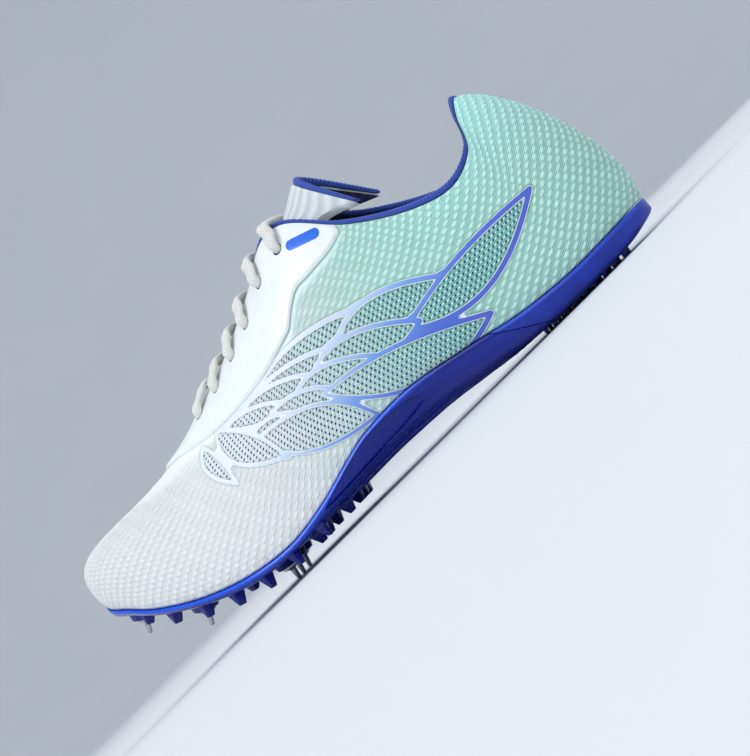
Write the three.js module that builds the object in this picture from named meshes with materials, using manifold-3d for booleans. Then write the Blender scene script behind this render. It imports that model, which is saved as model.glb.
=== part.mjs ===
// Sprint shoe with steel spikes, left foot, standing empty on its heel pad and its ball spikes.
// Millimetres, +Z up, +X to the toe, +Y to the outer (little toe) side, origin on the floor under the middle.
import * as THREE from 'three';
import { mergeVertices } from 'three/addons/utils/BufferGeometryUtils.js';
import Module from 'manifold-3d';

const wasm = await Module();
wasm.setup();
const { Manifold, Mesh: SolidMesh } = wasm;

// Driving sizes
const LOOP_LENGTH = 269.5; // feather line, heel to toe
const HEEL_X = -134; // back end of the feather line
const BALL = 92; // width of the feather line over the ball
const TALL = 100; // height of the throat's top corner over the floor
const GAP = 0.3; // clearance between pieces that meet
const WALL = 1.8; // knit wall of the upper
const FILM_GAP = 0.5; // between the knit's facets and the film on them
const FILM = 0.8; // fused film of the eyestay and the side bands
const LIP = 1.3; // how far the sole's rim stands outside the upper
const RIM_IN = 0.6; // how far the sole's rim runs inside the upper's wall
const INSOLE = 2.8; // thickness of the insole
const BEAD = 1.35; // radius of the knitted binding
const COLUMNS = 58; // steps round the shoe
const ROWS = 11; // steps up the upper's outer face
const LINING_ROWS = 5; // steps up its inner face
const BEAD_SIDES = 6; // sides of a binding or a lace
const PIN_SIDES = 8; // sides of a spike
const BOSS_SIDES = 10;
const HOLE_SIDES = 6;

// Upper, a row for each section from heel to toe. All but along are shares of BALL (out) and TALL (up).
// lat, med: feather line; latUp, medUp: its height; rim: collar and throat edge above that section;
// low, high: how far the side swells near the feather line and below the rim.
const SECTIONS = [
  // heel tab and collar
  { along: 0, lat: 0, med: 0, latUp: 0.11, medUp: 0.11, rimAlong: 0.077, rimLat: 0, rimMed: 0, rimUp: 0.845,
    lowOut: 0.109, lowUp: 0.22, highOut: 0.152, highUp: -0.085 },
  { along: 0.02, lat: 0.136, med: 0.136, latUp: 0.11, medUp: 0.11, rimAlong: 0.08, rimLat: 0.076, rimMed: 0.076,
    rimUp: 0.835, lowOut: 0.103, lowUp: 0.22, highOut: 0.13, highUp: -0.09 },
  { along: 0.06, lat: 0.239, med: 0.234, latUp: 0.105, medUp: 0.105, rimAlong: 0.088, rimLat: 0.163, rimMed: 0.16,
    rimUp: 0.775, lowOut: 0.087, lowUp: 0.21, highOut: 0.1, highUp: -0.11 },
  { along: 0.12, lat: 0.304, med: 0.293, latUp: 0.105, medUp: 0.105, rimAlong: 0.102, rimLat: 0.255, rimMed: 0.25,
    rimUp: 0.66, lowOut: 0.06, lowUp: 0.18, highOut: 0.06, highUp: -0.14 },
  { along: 0.2, lat: 0.332, med: 0.304, latUp: 0.128, medUp: 0.135, rimAlong: 0.15, rimLat: 0.3, rimMed: 0.29,
    rimUp: 0.61, lowOut: 0.043, lowUp: 0.15, highOut: 0.045, highUp: -0.15 },
  { along: 0.29, lat: 0.348, med: 0.293, latUp: 0.18, medUp: 0.19, rimAlong: 0.217, rimLat: 0.283, rimMed: 0.277,
    rimUp: 0.67, lowOut: 0.043, lowUp: 0.16, highOut: 0.06, highUp: -0.15 },
  { along: 0.38, lat: 0.37, med: 0.293, latUp: 0.223, medUp: 0.24, rimAlong: 0.295, rimLat: 0.212, rimMed: 0.212,
    rimUp: 0.805, lowOut: 0.038, lowUp: 0.18, highOut: 0.1, highUp: -0.15 },
  { along: 0.46, lat: 0.413, med: 0.32, latUp: 0.218, medUp: 0.24, rimAlong: 0.364, rimLat: 0.13, rimMed: 0.14,
    rimUp: 0.98, lowOut: 0.033, lowUp: 0.24, highOut: 0.155, highUp: -0.14 },
  // throat
  { along: 0.5, lat: 0.435, med: 0.342, latUp: 0.195, medUp: 0.22, rimAlong: 0.408, rimLat: 0.083, rimMed: 0.098,
    rimUp: 1, lowOut: 0.033, lowUp: 0.26, highOut: 0.185, highUp: -0.13 },
  { along: 0.57, lat: 0.467, med: 0.397, latUp: 0.145, medUp: 0.165, rimAlong: 0.475, rimLat: 0.06, rimMed: 0.085,
    rimUp: 0.908, lowOut: 0.022, lowUp: 0.26, highOut: 0.228, highUp: -0.11 },
  { along: 0.64, lat: 0.48, med: 0.457, latUp: 0.122, medUp: 0.125, rimAlong: 0.538, rimLat: 0.054, rimMed: 0.09,
    rimUp: 0.832, lowOut: 0.016, lowUp: 0.26, highOut: 0.25, highUp: -0.09 },
  { along: 0.72, lat: 0.462, med: 0.489, latUp: 0.148, medUp: 0.138, rimAlong: 0.596, rimLat: 0.05, rimMed: 0.094,
    rimUp: 0.774, lowOut: 0.016, lowUp: 0.25, highOut: 0.272, highUp: -0.08 },
  // toe box
  { along: 0.8, lat: 0.402, med: 0.467, latUp: 0.21, medUp: 0.2, rimAlong: 0.64, rimLat: 0.04, rimMed: 0.092,
    rimUp: 0.745, lowOut: 0.022, lowUp: 0.27, highOut: 0.315, highUp: -0.09 },
  { along: 0.88, lat: 0.31, med: 0.402, latUp: 0.305, medUp: 0.3, rimAlong: 0.664, rimLat: 0.02, rimMed: 0.078,
    rimUp: 0.728, lowOut: 0.033, lowUp: 0.31, highOut: 0.39, highUp: -0.125 },
  { along: 0.95, lat: 0.168, med: 0.299, latUp: 0.41, medUp: 0.4, rimAlong: 0.676, rimLat: -0.006, rimMed: 0.055,
    rimUp: 0.72, lowOut: 0.049, lowUp: 0.34, highOut: 0.457, highUp: -0.15 },
  { along: 1, lat: -0.076, med: 0.076, latUp: 0.475, medUp: 0.475, rimAlong: 0.68, rimLat: -0.027, rimMed: 0.027,
    rimUp: 0.718, lowOut: 0.054, lowUp: 0.35, highOut: 0.478, highUp: -0.16 },
];

// Sole under the same sections: underside height, thickness in the middle (shares of TALL), and how
// square its section is (1 is a bowl, small is a flat plate with short walls).
const SOLE = [
  { along: 0, under: 0.065, thick: 0.04, square: 0.5 },
  { along: 0.02, under: 0.04, thick: 0.065, square: 0.5 },
  { along: 0.06, under: 0.02, thick: 0.08, square: 0.5 },
  { along: 0.12, under: 0.015, thick: 0.08, square: 0.5 },
  { along: 0.2, under: 0.018, thick: 0.085, square: 0.55 },
  { along: 0.29, under: 0.048, thick: 0.075, square: 0.7 },
  { along: 0.38, under: 0.078, thick: 0.06, square: 0.85 },
  { along: 0.46, under: 0.09, thick: 0.05, square: 0.85 },
  { along: 0.5, under: 0.092, thick: 0.045, square: 0.8 },
  { along: 0.57, under: 0.089, thick: 0.038, square: 0.6 },
  { along: 0.64, under: 0.085, thick: 0.033, square: 0.42 },
  { along: 0.72, under: 0.102, thick: 0.033, square: 0.38 },
  { along: 0.8, under: 0.163, thick: 0.033, square: 0.38 },
  { along: 0.88, under: 0.258, thick: 0.033, square: 0.4 },
  { along: 0.95, under: 0.362, thick: 0.035, square: 0.45 },
  { along: 1, under: 0.43, thick: 0.036, square: 0.5 },
];

// Smooth curve through keyed values, by cubic pieces with slopes taken across each key.
function curve(keys, values, slopes) {
  return (at) => {
    let i = 0;
    while (i < keys.length - 2 && at > keys[i + 1]) i += 1;
    const span = keys[i + 1] - keys[i];
    const t = (at - keys[i]) / span;
    const a = values[i];
    const b = values[i + 1];
    const t2 = t * t;
    const t3 = t2 * t;
    return (2 * t3 - 3 * t2 + 1) * a + (t3 - 2 * t2 + t) * span * slopes[i]
      + (3 * t2 - 2 * t3) * b + (t3 - t2) * span * slopes[i + 1];
  };
}

function slopesAcross(keys, values, closed) {
  const n = keys.length;
  return values.map((value, i) => {
    if (closed && (i === 0 || i === n - 1)) {
      return (values[1] - values[n - 2]) / (keys[1] - keys[0] + keys[n - 1] - keys[n - 2]);
    }
    const before = Math.max(i - 1, 0);
    const after = Math.min(i + 1, n - 1);
    return (values[after] - values[before]) / (keys[after] - keys[before]);
  });
}

// Angle round the shoe for a share of its length: 0 heel, PI toe, then back along the inner side.
const turnAt = (along) => Math.acos(1 - 2 * along);
const alongAt = (turn) => (1 - Math.cos(turn)) / 2;
const xAt = (along) => HEEL_X + along * LOOP_LENGTH;

// Closed curve round the shoe from a column for the outer side and one for the inner side.
function loop(outer, inner, sign) {
  const keys = SECTIONS.map((row) => turnAt(row.along));
  const values = SECTIONS.map((row) => row[outer]);
  for (let i = SECTIONS.length - 2; i >= 0; i -= 1) {
    keys.push(2 * Math.PI - turnAt(SECTIONS[i].along));
    values.push(sign * SECTIONS[i][inner]);
  }
  return curve(keys, values, slopesAcross(keys, values, true));
}

// Open curve along the sole.
function along(rows, column) {
  const keys = rows.map((row) => turnAt(row.along));
  const values = rows.map((row) => row[column]);
  return curve(keys, values, slopesAcross(keys, values, false));
}

const feather = {
  out: loop('lat', 'med', -1),
  up: loop('latUp', 'medUp', 1),
};
const rim = {
  along: loop('rimAlong', 'rimAlong', 1),
  out: loop('rimLat', 'rimMed', -1),
  up: loop('rimUp', 'rimUp', 1),
};
const swell = {
  lowOut: loop('lowOut', 'lowOut', 1),
  lowUp: loop('lowUp', 'lowUp', 1),
  highOut: loop('highOut', 'highOut', 1),
  highUp: loop('highUp', 'highUp', 1),
};
const sole = {
  under: along(SOLE, 'under'),
  thick: along(SOLE, 'thick'),
  square: along(SOLE, 'square'),
};

const wrap = (turn) => ((turn % (2 * Math.PI)) + 2 * Math.PI) % (2 * Math.PI);

function featherPoint(turn) {
  const at = wrap(turn);
  return new THREE.Vector3(xAt(alongAt(at)), feather.out(at) * BALL, feather.up(at) * TALL);
}

// Level direction pointing out of the shoe, square to the feather line.
function outward(turn) {
  const step = 0.02;
  const ahead = featherPoint(turn + step).sub(featherPoint(turn - step));
  return new THREE.Vector3(-ahead.y, ahead.x, 0).normalize();
}

// Outer face of the upper: height 0 on the feather line, 1 on the collar and throat edge.
function skin(turn, height) {
  const at = wrap(turn);
  const out = outward(at);
  const foot = featherPoint(at);
  const top = new THREE.Vector3(xAt(rim.along(at)), rim.out(at) * BALL, rim.up(at) * TALL);
  const low = foot.clone().addScaledVector(out, swell.lowOut(at) * BALL);
  low.z += swell.lowUp(at) * TALL;
  const high = top.clone().addScaledVector(out, swell.highOut(at) * BALL);
  high.z += swell.highUp(at) * TALL;
  const rest = 1 - height;
  return foot.multiplyScalar(rest ** 3)
    .addScaledVector(low, 3 * rest * rest * height)
    .addScaledVector(high, 3 * rest * height * height)
    .addScaledVector(top, height ** 3);
}

function skinNormal(turn, height) {
  const step = 0.01;
  const round = skin(turn + step, height).sub(skin(turn - step, height));
  const up = skin(turn, Math.min(height + step, 1)).sub(skin(turn, Math.max(height - step, 0)));
  return up.cross(round).normalize();
}

// A point off the upper's outer face by a distance along its normal.
function offSkin(turn, height, distance) {
  return skin(turn, height).addScaledVector(skinNormal(turn, height), distance);
}

// Mesh building from grids of points
const triangles = () => ({ points: [], faces: [] });

function addGrid(mesh, grid, flip) {
  const base = mesh.points.length;
  const wide = grid[0].length;
  grid.forEach((line) => mesh.points.push(...line));
  for (let i = 0; i < grid.length - 1; i += 1) {
    for (let j = 0; j < wide - 1; j += 1) {
      const a = base + i * wide + j;
      const b = a + 1;
      const c = a + wide;
      const d = c + 1;
      if (flip) mesh.faces.push([a, c, b], [b, c, d]);
      else mesh.faces.push([a, b, c], [b, d, c]);
    }
  }
}

function toGeometry(mesh) {
  const geometry = new THREE.BufferGeometry();
  const flat = mesh.points.flatMap((p) => [p.x, p.y, p.z]);
  geometry.setAttribute('position', new THREE.Float32BufferAttribute(flat, 3));
  geometry.setIndex(mesh.faces.flat());
  const merged = mergeVertices(geometry, 1e-4);
  const index = merged.index.array;
  const kept = [];
  for (let i = 0; i < index.length; i += 3) {
    const [a, b, c] = [index[i], index[i + 1], index[i + 2]];
    if (a !== b && b !== c && c !== a) kept.push(a, b, c);
  }
  merged.setIndex(kept);
  return merged;
}

function toSolid(geometry) {
  const merged = mergeVertices(geometry.clone().deleteAttribute('normal').deleteAttribute('uv'), 1e-4);
  const solid = new SolidMesh({
    numProp: 3,
    vertProperties: new Float32Array(merged.attributes.position.array),
    triVerts: new Uint32Array(merged.index.array),
  });
  return new Manifold(solid);
}

function fromSolid(solid) {
  const mesh = solid.getMesh();
  const geometry = new THREE.BufferGeometry();
  geometry.setAttribute('position', new THREE.BufferAttribute(new Float32Array(mesh.vertProperties), 3));
  geometry.setIndex(new THREE.BufferAttribute(new Uint32Array(mesh.triVerts), 1));
  return geometry;
}

// Closed shell between two grids that wrap round in their first direction.
function ringSolid(outer, inner) {
  const mesh = triangles();
  addGrid(mesh, outer, false);
  addGrid(mesh, inner, true);
  const last = (grid, end) => grid.map((line) => line[end < 0 ? line.length - 1 : 0]);
  addGrid(mesh, last(outer, -1).map((p, i) => [p, last(inner, -1)[i]]), false);
  addGrid(mesh, last(outer, 0).map((p, i) => [p, last(inner, 0)[i]]), true);
  return toGeometry(mesh);
}

// Closed slab between two open grids of the same size.
function slabSolid(outer, inner) {
  const mesh = triangles();
  addGrid(mesh, outer, false);
  addGrid(mesh, inner, true);
  const left = outer.map((line, i) => [line[0], inner[i][0]]);
  const right = outer.map((line, i) => [line[line.length - 1], inner[i][line.length - 1]]);
  addGrid(mesh, left, true);
  addGrid(mesh, right, false);
  const end = outer.length - 1;
  addGrid(mesh, outer[0].map((p, j) => [p, inner[0][j]]), false);
  addGrid(mesh, outer[end].map((p, j) => [p, inner[end][j]]), true);
  return toGeometry(mesh);
}

// Closed tube from rings of points, its two ends filled unless it closes on itself.
function tubeSolid(rings, closed) {
  const mesh = triangles();
  const lines = rings.map((ring) => [...ring, ring[0]]);
  if (closed) lines.push(lines[0]);
  addGrid(mesh, lines, false);
  if (!closed) {
    [[rings[0], false], [rings[rings.length - 1], true]].forEach(([ring, flip]) => {
      const middle = ring.reduce((sum, p) => sum.add(p), new THREE.Vector3()).divideScalar(ring.length);
      const base = mesh.points.length;
      mesh.points.push(middle, ...ring);
      ring.forEach((p, i) => {
        const a = base + 1 + i;
        const b = base + 1 + ((i + 1) % ring.length);
        mesh.faces.push(flip ? [base, a, b] : [base, b, a]);
      });
    });
  }
  return toGeometry(mesh);
}

const steps = (count, from, to) => Array.from({ length: count + 1 }, (_, i) => from + ((to - from) * i) / count);

// Upper: the knit wall
function upperGeometry() {
  const turns = steps(COLUMNS, 0, 2 * Math.PI);
  const outer = turns.map((turn) => steps(ROWS, 0, 1).map((height) => skin(turn, height)));
  const inner = turns.map((turn) => steps(LINING_ROWS, 0, 1).map((height) => offSkin(turn, height, -WALL)));
  return ringSolid(outer, inner);
}

// Sole section at a turn on the outer side: its underside from rim to rim, and its top from rim to rim.
const SOLE_ENDS = 0.045; // turns kept off the very heel and toe, where the section would vanish
const SOLE_STEPS = 32;
const UNDER_STEPS = 14;
const BED_SIDES = [-1, -0.92, -0.5, 0, 0.5, 0.92, 1]; // places across the sole's bed
const BED_CURVE = 5; // how late the bed turns up to its rim
const NARROW = 0.6; // the rim's widest share of a narrow section
const INSOLE_ENDS = 4; // sole steps left bare at each end of the insole
const RIB_HEIGHT = 1.1;
const RIBS = { count: 4, from: 0.21, to: 0.64, reachBack: 0.3, reachFront: 0.55, fadeBack: 8, fadeFront: 5 };
const LENS = { middle: 0.47, half: 0.1, level: 0.62, deep: 1.1, tall: 0.3 }; // hollow in the midfoot wall

function ribHeight(share, side) {
  const run = (share - RIBS.from) / (RIBS.to - RIBS.from);
  const reach = RIBS.reachBack + (RIBS.reachFront - RIBS.reachBack) * run;
  const fade = Math.min(run * RIBS.fadeBack, (1 - run) * RIBS.fadeFront, 1);
  if (Math.abs(side) > reach || fade <= 0) return 0;
  return Math.max(0, Math.cos((side / reach) * Math.PI * RIBS.count)) * RIB_HEIGHT * fade;
}

function lensDepth(share, level) {
  const x = (share - LENS.middle) / LENS.half;
  const z = (level - LENS.level) / LENS.tall;
  return LENS.deep * Math.max(0, 1 - x * x - z * z);
}

function soleEdges(turn) {
  const outer = featherPoint(turn);
  const inner = featherPoint(2 * Math.PI - turn);
  const ahead = Math.min(Math.abs(outer.y - inner.y) / (2 * LIP), 1);
  outer.y += LIP * ahead;
  inner.y -= LIP * ahead;
  outer.z -= GAP;
  inner.z -= GAP;
  return { outer, inner };
}

function undersideHeight(turn, side) {
  const { outer, inner } = soleEdges(turn);
  const edge = side > 0 ? outer.z : inner.z;
  const base = sole.under(turn) * TALL;
  const power = sole.square(turn);
  const reach = Math.min(Math.abs(side), 1) ** (1 / power);
  return base + (edge - base) * (1 - Math.sqrt(Math.max(0, 1 - reach * reach)) ** power);
}

// The sole's upper face, inside the upper's wall.
function bedPoint(turn, side) {
  const { outer, inner } = soleEdges(turn);
  const middle = (outer.y + inner.y) / 2;
  const half = (outer.y - inner.y) / 2;
  const reach = half - Math.min(LIP + WALL + RIM_IN, half * NARROW);
  const edge = side > 0 ? outer.z : inner.z;
  const bed = Math.min((sole.under(turn) + sole.thick(turn)) * TALL, edge);
  return new THREE.Vector3(outer.x, middle + reach * side, bed + (edge - bed) * Math.abs(side) ** BED_CURVE);
}

function soleSection(turn) {
  const { outer, inner } = soleEdges(turn);
  const middle = (outer.y + inner.y) / 2;
  const half = (outer.y - inner.y) / 2;
  const base = sole.under(turn) * TALL;
  const power = sole.square(turn);
  const share = alongAt(turn);
  const under = steps(UNDER_STEPS, Math.PI / 2, -Math.PI / 2).map((angle) => {
    const side = Math.sign(angle) * Math.abs(Math.sin(angle)) ** power;
    const edge = angle > 0 ? outer.z : inner.z;
    const rise = 1 - Math.abs(Math.cos(angle)) ** power;
    const z = base + (edge - base) * rise - ribHeight(share, side);
    return new THREE.Vector3(outer.x, middle + (half - lensDepth(share, rise)) * side, z);
  });
  const top = BED_SIDES.map((side) => bedPoint(turn, side));
  return [...under, ...top];
}

function soleGeometry() {
  const turns = steps(SOLE_STEPS, SOLE_ENDS, Math.PI - SOLE_ENDS);
  return tubeSolid(turns.map(soleSection).map((ring) => ring.slice().reverse()), false);
}

// Insole: lies on the sole's bed
function insoleGeometry() {
  const turns = steps(SOLE_STEPS, SOLE_ENDS, Math.PI - SOLE_ENDS).slice(INSOLE_ENDS, -INSOLE_ENDS);
  const sides = BED_SIDES.slice(1, -1).reverse();
  const bottom = turns.map((turn) => sides.map((side) => {
    const p = bedPoint(turn, side);
    p.z += GAP;
    return p;
  }));
  const top = bottom.map((line) => line.map((p) => p.clone().setZ(p.z + INSOLE)));
  return slabSolid(top, bottom);
}

// Tongue: a row for each section from under the vamp to the free top edge. along and back are shares
// of LOOP_LENGTH, up and sag of TALL, half of BALL and thick of TONGUE_WALL.
const TONGUE_WALL = 3;
const TONGUE = [
  { along: 0.709, up: 0.646, half: 0.152, sag: 0.036, back: 0, thick: 0.67 },
  { along: 0.646, up: 0.698, half: 0.174, sag: 0.05, back: 0, thick: 0.67 },
  { along: 0.579, up: 0.749, half: 0.174, sag: 0.058, back: 0, thick: 0.8 },
  { along: 0.512, up: 0.814, half: 0.174, sag: 0.07, back: 0.004, thick: 0.93 },
  { along: 0.453, up: 0.89, half: 0.168, sag: 0.08, back: 0.007, thick: 1 },
  { along: 0.401, up: 0.966, half: 0.147, sag: 0.09, back: 0.015, thick: 1 },
  { along: 0.36, up: 1.026, half: 0.13, sag: 0.125, back: 0.037, thick: 1 },
  { along: 0.327, up: 1.075, half: 0.174, sag: 0.23, back: 0.059, thick: 0.87 },
];
const TONGUE_LEAN = 0.35; // how far its inner face is set back, in thicknesses
const TONGUE_TAPER = 0.5; // how far its inner face is narrower, in thicknesses
const TONGUE_STEPS = 12;
const TONGUE_ACROSS = 6;
const TONGUE_MIDDLE = -0.011; // share of BALL

function tonguePoint(share, side, depth) {
  const keys = TONGUE.map((row, i) => i / (TONGUE.length - 1));
  const read = (column) => {
    const values = TONGUE.map((row) => row[column]);
    return curve(keys, values, slopesAcross(keys, values, false))(share);
  };
  const drop = side * side;
  const shift = depth * read('thick') * TONGUE_WALL;
  return new THREE.Vector3(
    xAt(read('along') - read('back') * drop) - shift * TONGUE_LEAN,
    TONGUE_MIDDLE * BALL + (read('half') * BALL - shift * TONGUE_TAPER) * side,
    (read('up') - read('sag') * drop) * TALL - shift,
  );
}

function tongueGeometry() {
  const shares = steps(TONGUE_STEPS, 0, 1);
  const sides = steps(TONGUE_ACROSS, -1, 1);
  const outer = shares.map((share) => sides.map((side) => tonguePoint(share, side, 0)));
  const inner = shares.map((share) => sides.map((side) => tonguePoint(share, side, 1)));
  return slabSolid(outer, inner);
}

// Points on the underside, for studs, spikes and lugs.
function undersidePoint(share, side) {
  const turn = turnAt(share);
  const { outer, inner } = soleEdges(turn);
  const middle = (outer.y + inner.y) / 2;
  const half = (outer.y - inner.y) / 2;
  return new THREE.Vector3(outer.x, middle + half * side, undersideHeight(turn, side));
}

// Direction square to the underside, pointing away from the foot.
function undersideNormal(share, side) {
  const step = 0.01;
  const ahead = undersidePoint(share + step, side).sub(undersidePoint(share - step, side));
  const across = undersidePoint(share, side + step).sub(undersidePoint(share, side - step));
  return across.cross(ahead).normalize();
}

// Moves a shape built along +Y so that it stands at a point with +Y turned to a direction.
function stand(geometry, point, direction) {
  const turned = new THREE.Quaternion().setFromUnitVectors(new THREE.Vector3(0, 1, 0), direction);
  return geometry.applyQuaternion(turned).translate(point.x, point.y, point.z);
}

// Studs of the forefoot, a row for each: fins on the edges, pyramids behind the ball. Sizes in mm.
const STUDS = [
  // fins along the outer edge
  { along: 0.6, side: 0.84, long: 8, wide: 4.4, tall: 5 },
  { along: 0.655, side: 0.88, long: 8, wide: 4, tall: 5 },
  { along: 0.71, side: 0.88, long: 7.5, wide: 4, tall: 5 },
  { along: 0.765, side: 0.88, long: 7.5, wide: 4, tall: 5 },
  { along: 0.82, side: 0.87, long: 7, wide: 4, tall: 5 },
  { along: 0.875, side: 0.84, long: 7, wide: 4, tall: 4.6 },
  { along: 0.925, side: 0.78, long: 6.5, wide: 4, tall: 4.4 },
  // fins along the inner edge
  { along: 0.63, side: -0.84, long: 8, wide: 4.4, tall: 5 },
  { along: 0.69, side: -0.88, long: 8, wide: 4, tall: 5 },
  { along: 0.75, side: -0.88, long: 7.5, wide: 4, tall: 5 },
  { along: 0.81, side: -0.88, long: 7.5, wide: 4, tall: 5 },
  { along: 0.87, side: -0.86, long: 7, wide: 4, tall: 4.6 },
  { along: 0.925, side: -0.8, long: 6.5, wide: 4, tall: 4.4 },
  // toe
  { along: 0.972, side: 0.1, long: 5.5, wide: 5.5, tall: 4.2 },
  // pyramids behind the ball
  { along: 0.575, side: 0.45, long: 6.5, wide: 6.5, tall: 4.6 },
  { along: 0.575, side: 0.1, long: 6.5, wide: 6.5, tall: 4.4 },
  { along: 0.585, side: -0.25, long: 6.5, wide: 6.5, tall: 4.4 },
  { along: 0.6, side: -0.6, long: 6.5, wide: 6.5, tall: 4.6 },
  { along: 0.63, side: 0.55, long: 6.5, wide: 6.5, tall: 4.6 },
  { along: 0.64, side: 0.15, long: 6.5, wide: 6.5, tall: 4.6 },
  { along: 0.65, side: -0.3, long: 6.5, wide: 6.5, tall: 4.6 },
  // between the spikes
  { along: 0.77, side: 0.42, long: 7, wide: 7, tall: 4.4 },
  { along: 0.78, side: -0.12, long: 7, wide: 7, tall: 4.4 },
  { along: 0.88, side: 0.1, long: 7, wide: 7, tall: 4.2 },
];
const STUD_TIP = 0.35; // share of a stud's foot that is left at its tip
const ROOT = 1.6; // how deep a fused stud starts inside the plate

function studGeometry(row) {
  const tall = row.tall + ROOT;
  const stud = new THREE.CylinderGeometry(STUD_TIP / Math.SQRT2, 1 / Math.SQRT2, tall, 4, 1);
  stud.rotateY(Math.PI / 4).scale(row.wide, 1, row.long).translate(0, tall / 2 - ROOT, 0);
  return stand(stud, undersidePoint(row.along, row.side), undersideNormal(row.along, row.side));
}

// Spikes, a row for each. Those that stand have bosses just tall enough to put their tips on the floor.
const SPIKES = [
  { along: 0.944, side: 0.52, stands: false },
  { along: 0.944, side: -0.52, stands: false },
  { along: 0.838, side: 0.62, stands: false },
  { along: 0.838, side: -0.58, stands: false },
  { along: 0.71, side: 0.34, stands: true },
  { along: 0.728, side: -0.08, stands: true },
  { along: 0.742, side: -0.5, stands: true },
];
const SPIKE = {
  flange: 3.5, flangeTall: 1.2, land: 0.7, crown: 0.8, neck: 1.35, tip: 0.75, pin: 5.4, shank: 2, shankTall: 3.4,
};
const BOSS = { foot: 6.4, face: 5.2, tall: 3.1 };

const OPEN = 2; // how far a cut runs on past the face that it opens

function spikePlace(row) {
  const point = undersidePoint(row.along, row.side);
  const down = undersideNormal(row.along, row.side);
  let boss = BOSS.tall;
  if (row.stands) {
    const tipRise = SPIKE.tip * Math.hypot(down.x, down.y);
    boss = (point.z - tipRise) / -down.z - GAP - SPIKE.flangeTall - SPIKE.pin;
  }
  return { point, down, boss };
}

function bossGeometry(row) {
  const { point, down, boss } = spikePlace(row);
  const cone = new THREE.CylinderGeometry(BOSS.face, BOSS.foot, boss + ROOT, BOSS_SIDES, 1);
  return stand(cone.translate(0, (boss + ROOT) / 2 - ROOT, 0), point, down);
}

function socketGeometry(row) {
  const { point, down, boss } = spikePlace(row);
  const deep = SPIKE.shankTall + GAP;
  const wide = SPIKE.shank + 2 * GAP;
  const hole = new THREE.CylinderGeometry(wide, wide, deep + OPEN, HOLE_SIDES, 1);
  return stand(hole.translate(0, boss - (deep - OPEN) / 2, 0), point, down);
}

function spikeGeometry(row) {
  const { point, down, boss } = spikePlace(row);
  const foot = SPIKE.flangeTall;
  const profile = [
    [0, -SPIKE.shankTall],
    [SPIKE.shank, -SPIKE.shankTall],
    [SPIKE.shank, 0],
    [SPIKE.flange, 0],
    [SPIKE.flange, foot * SPIKE.land],
    [SPIKE.flange * SPIKE.crown, foot],
    [SPIKE.neck, foot],
    [SPIKE.tip, foot + SPIKE.pin],
    [0, foot + SPIKE.pin],
  ];
  const pin = new THREE.LatheGeometry(profile.map(([r, y]) => new THREE.Vector2(r, y)), PIN_SIDES);
  return stand(pin.translate(0, boss + GAP, 0), point, down);
}

// Heel tread: small lugs on the rear end of the plate, all down to the floor. from and to are shares of
// LOOP_LENGTH, apart and stagger of BALL; the sizes of a lug are in mm.
const TREAD = { from: 0.0742, to: 0.2078, columns: 7, rows: 3, apart: 0.0924, stagger: 0.0087 };
const LUG = { long: 2.8, wide: 4.6, foot: 0.55, root: 0.95, inside: 1 };

function lugGeometry(column, row) {
  const share = TREAD.from + ((TREAD.to - TREAD.from) * column) / (TREAD.columns - 1);
  const y = ((row - (TREAD.rows - 1) / 2) * TREAD.apart + (column % 2 ? 1 : -1) * TREAD.stagger) * BALL;
  const tall = sole.under(turnAt(share)) * TALL + LUG.inside;
  const lug = new THREE.CylinderGeometry(LUG.root / Math.SQRT2, LUG.foot / Math.SQRT2, tall, 4, 1);
  lug.rotateY(Math.PI / 4).scale(LUG.long, 1, LUG.wide).rotateX(Math.PI / 2);
  return lug.translate(xAt(share), y, tall / 2);
}

// Plan of the plate's rear end, from the midfoot to the rounded back of the tread, in shares of
// LOOP_LENGTH and BALL, and its height over the floor in mm.
const SHANK = [
  { along: 0.193, half: 0.272 }, { along: 0.171, half: 0.207 }, { along: 0.141, half: 0.19 },
  { along: 0.104, half: 0.179 }, { along: 0.074, half: 0.141 }, { along: 0.0575, half: 0.087 },
  { along: 0.052, half: 0.033 },
];
const SHANK_TOP = 4.4;
// Slanted face between plate and heel wedge: its ends on the bite line and down at the shank, in shares
// of LOOP_LENGTH and TALL.
const WEDGE = { tip: 0.26, tipUp: 0.17, foot: 0.1855, footUp: 0.035 };
const BELOW = 10; // how far cutting blocks reach under the floor

// Room of the plate: everything ahead of the wedge, and the shank under it, grown by a margin.
function plateRoom(margin) {
  const plan = new THREE.Shape([
    ...SHANK.map((row) => new THREE.Vector2(xAt(row.along) - margin, row.half * BALL + margin)),
    ...SHANK.slice().reverse().map((row) => new THREE.Vector2(xAt(row.along) - margin, -row.half * BALL - margin)),
  ]);
  const shank = new THREE.ExtrudeGeometry(plan, { depth: BELOW + SHANK_TOP + margin, bevelEnabled: false });
  const rise = (WEDGE.tipUp - WEDGE.footUp) * TALL;
  const slope = (xAt(WEDGE.tip) - xAt(WEDGE.foot)) / rise;
  const back = margin * Math.hypot(1, slope);
  const faceX = (z) => xAt(WEDGE.foot) + (z - WEDGE.footUp * TALL) * slope - back;
  const side = new THREE.Shape([
    new THREE.Vector2(faceX(-BELOW), -BELOW),
    new THREE.Vector2(LOOP_LENGTH, -BELOW),
    new THREE.Vector2(LOOP_LENGTH, TALL),
    new THREE.Vector2(faceX(TALL), TALL),
  ]);
  const block = new THREE.ExtrudeGeometry(side, { depth: 2 * BALL, bevelEnabled: false });
  block.rotateX(Math.PI / 2).translate(0, BALL, 0);
  return toSolid(block).add(toSolid(shank.translate(0, 0, -BELOW)));
}

const soleSolid = toSolid(soleGeometry());

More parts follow.
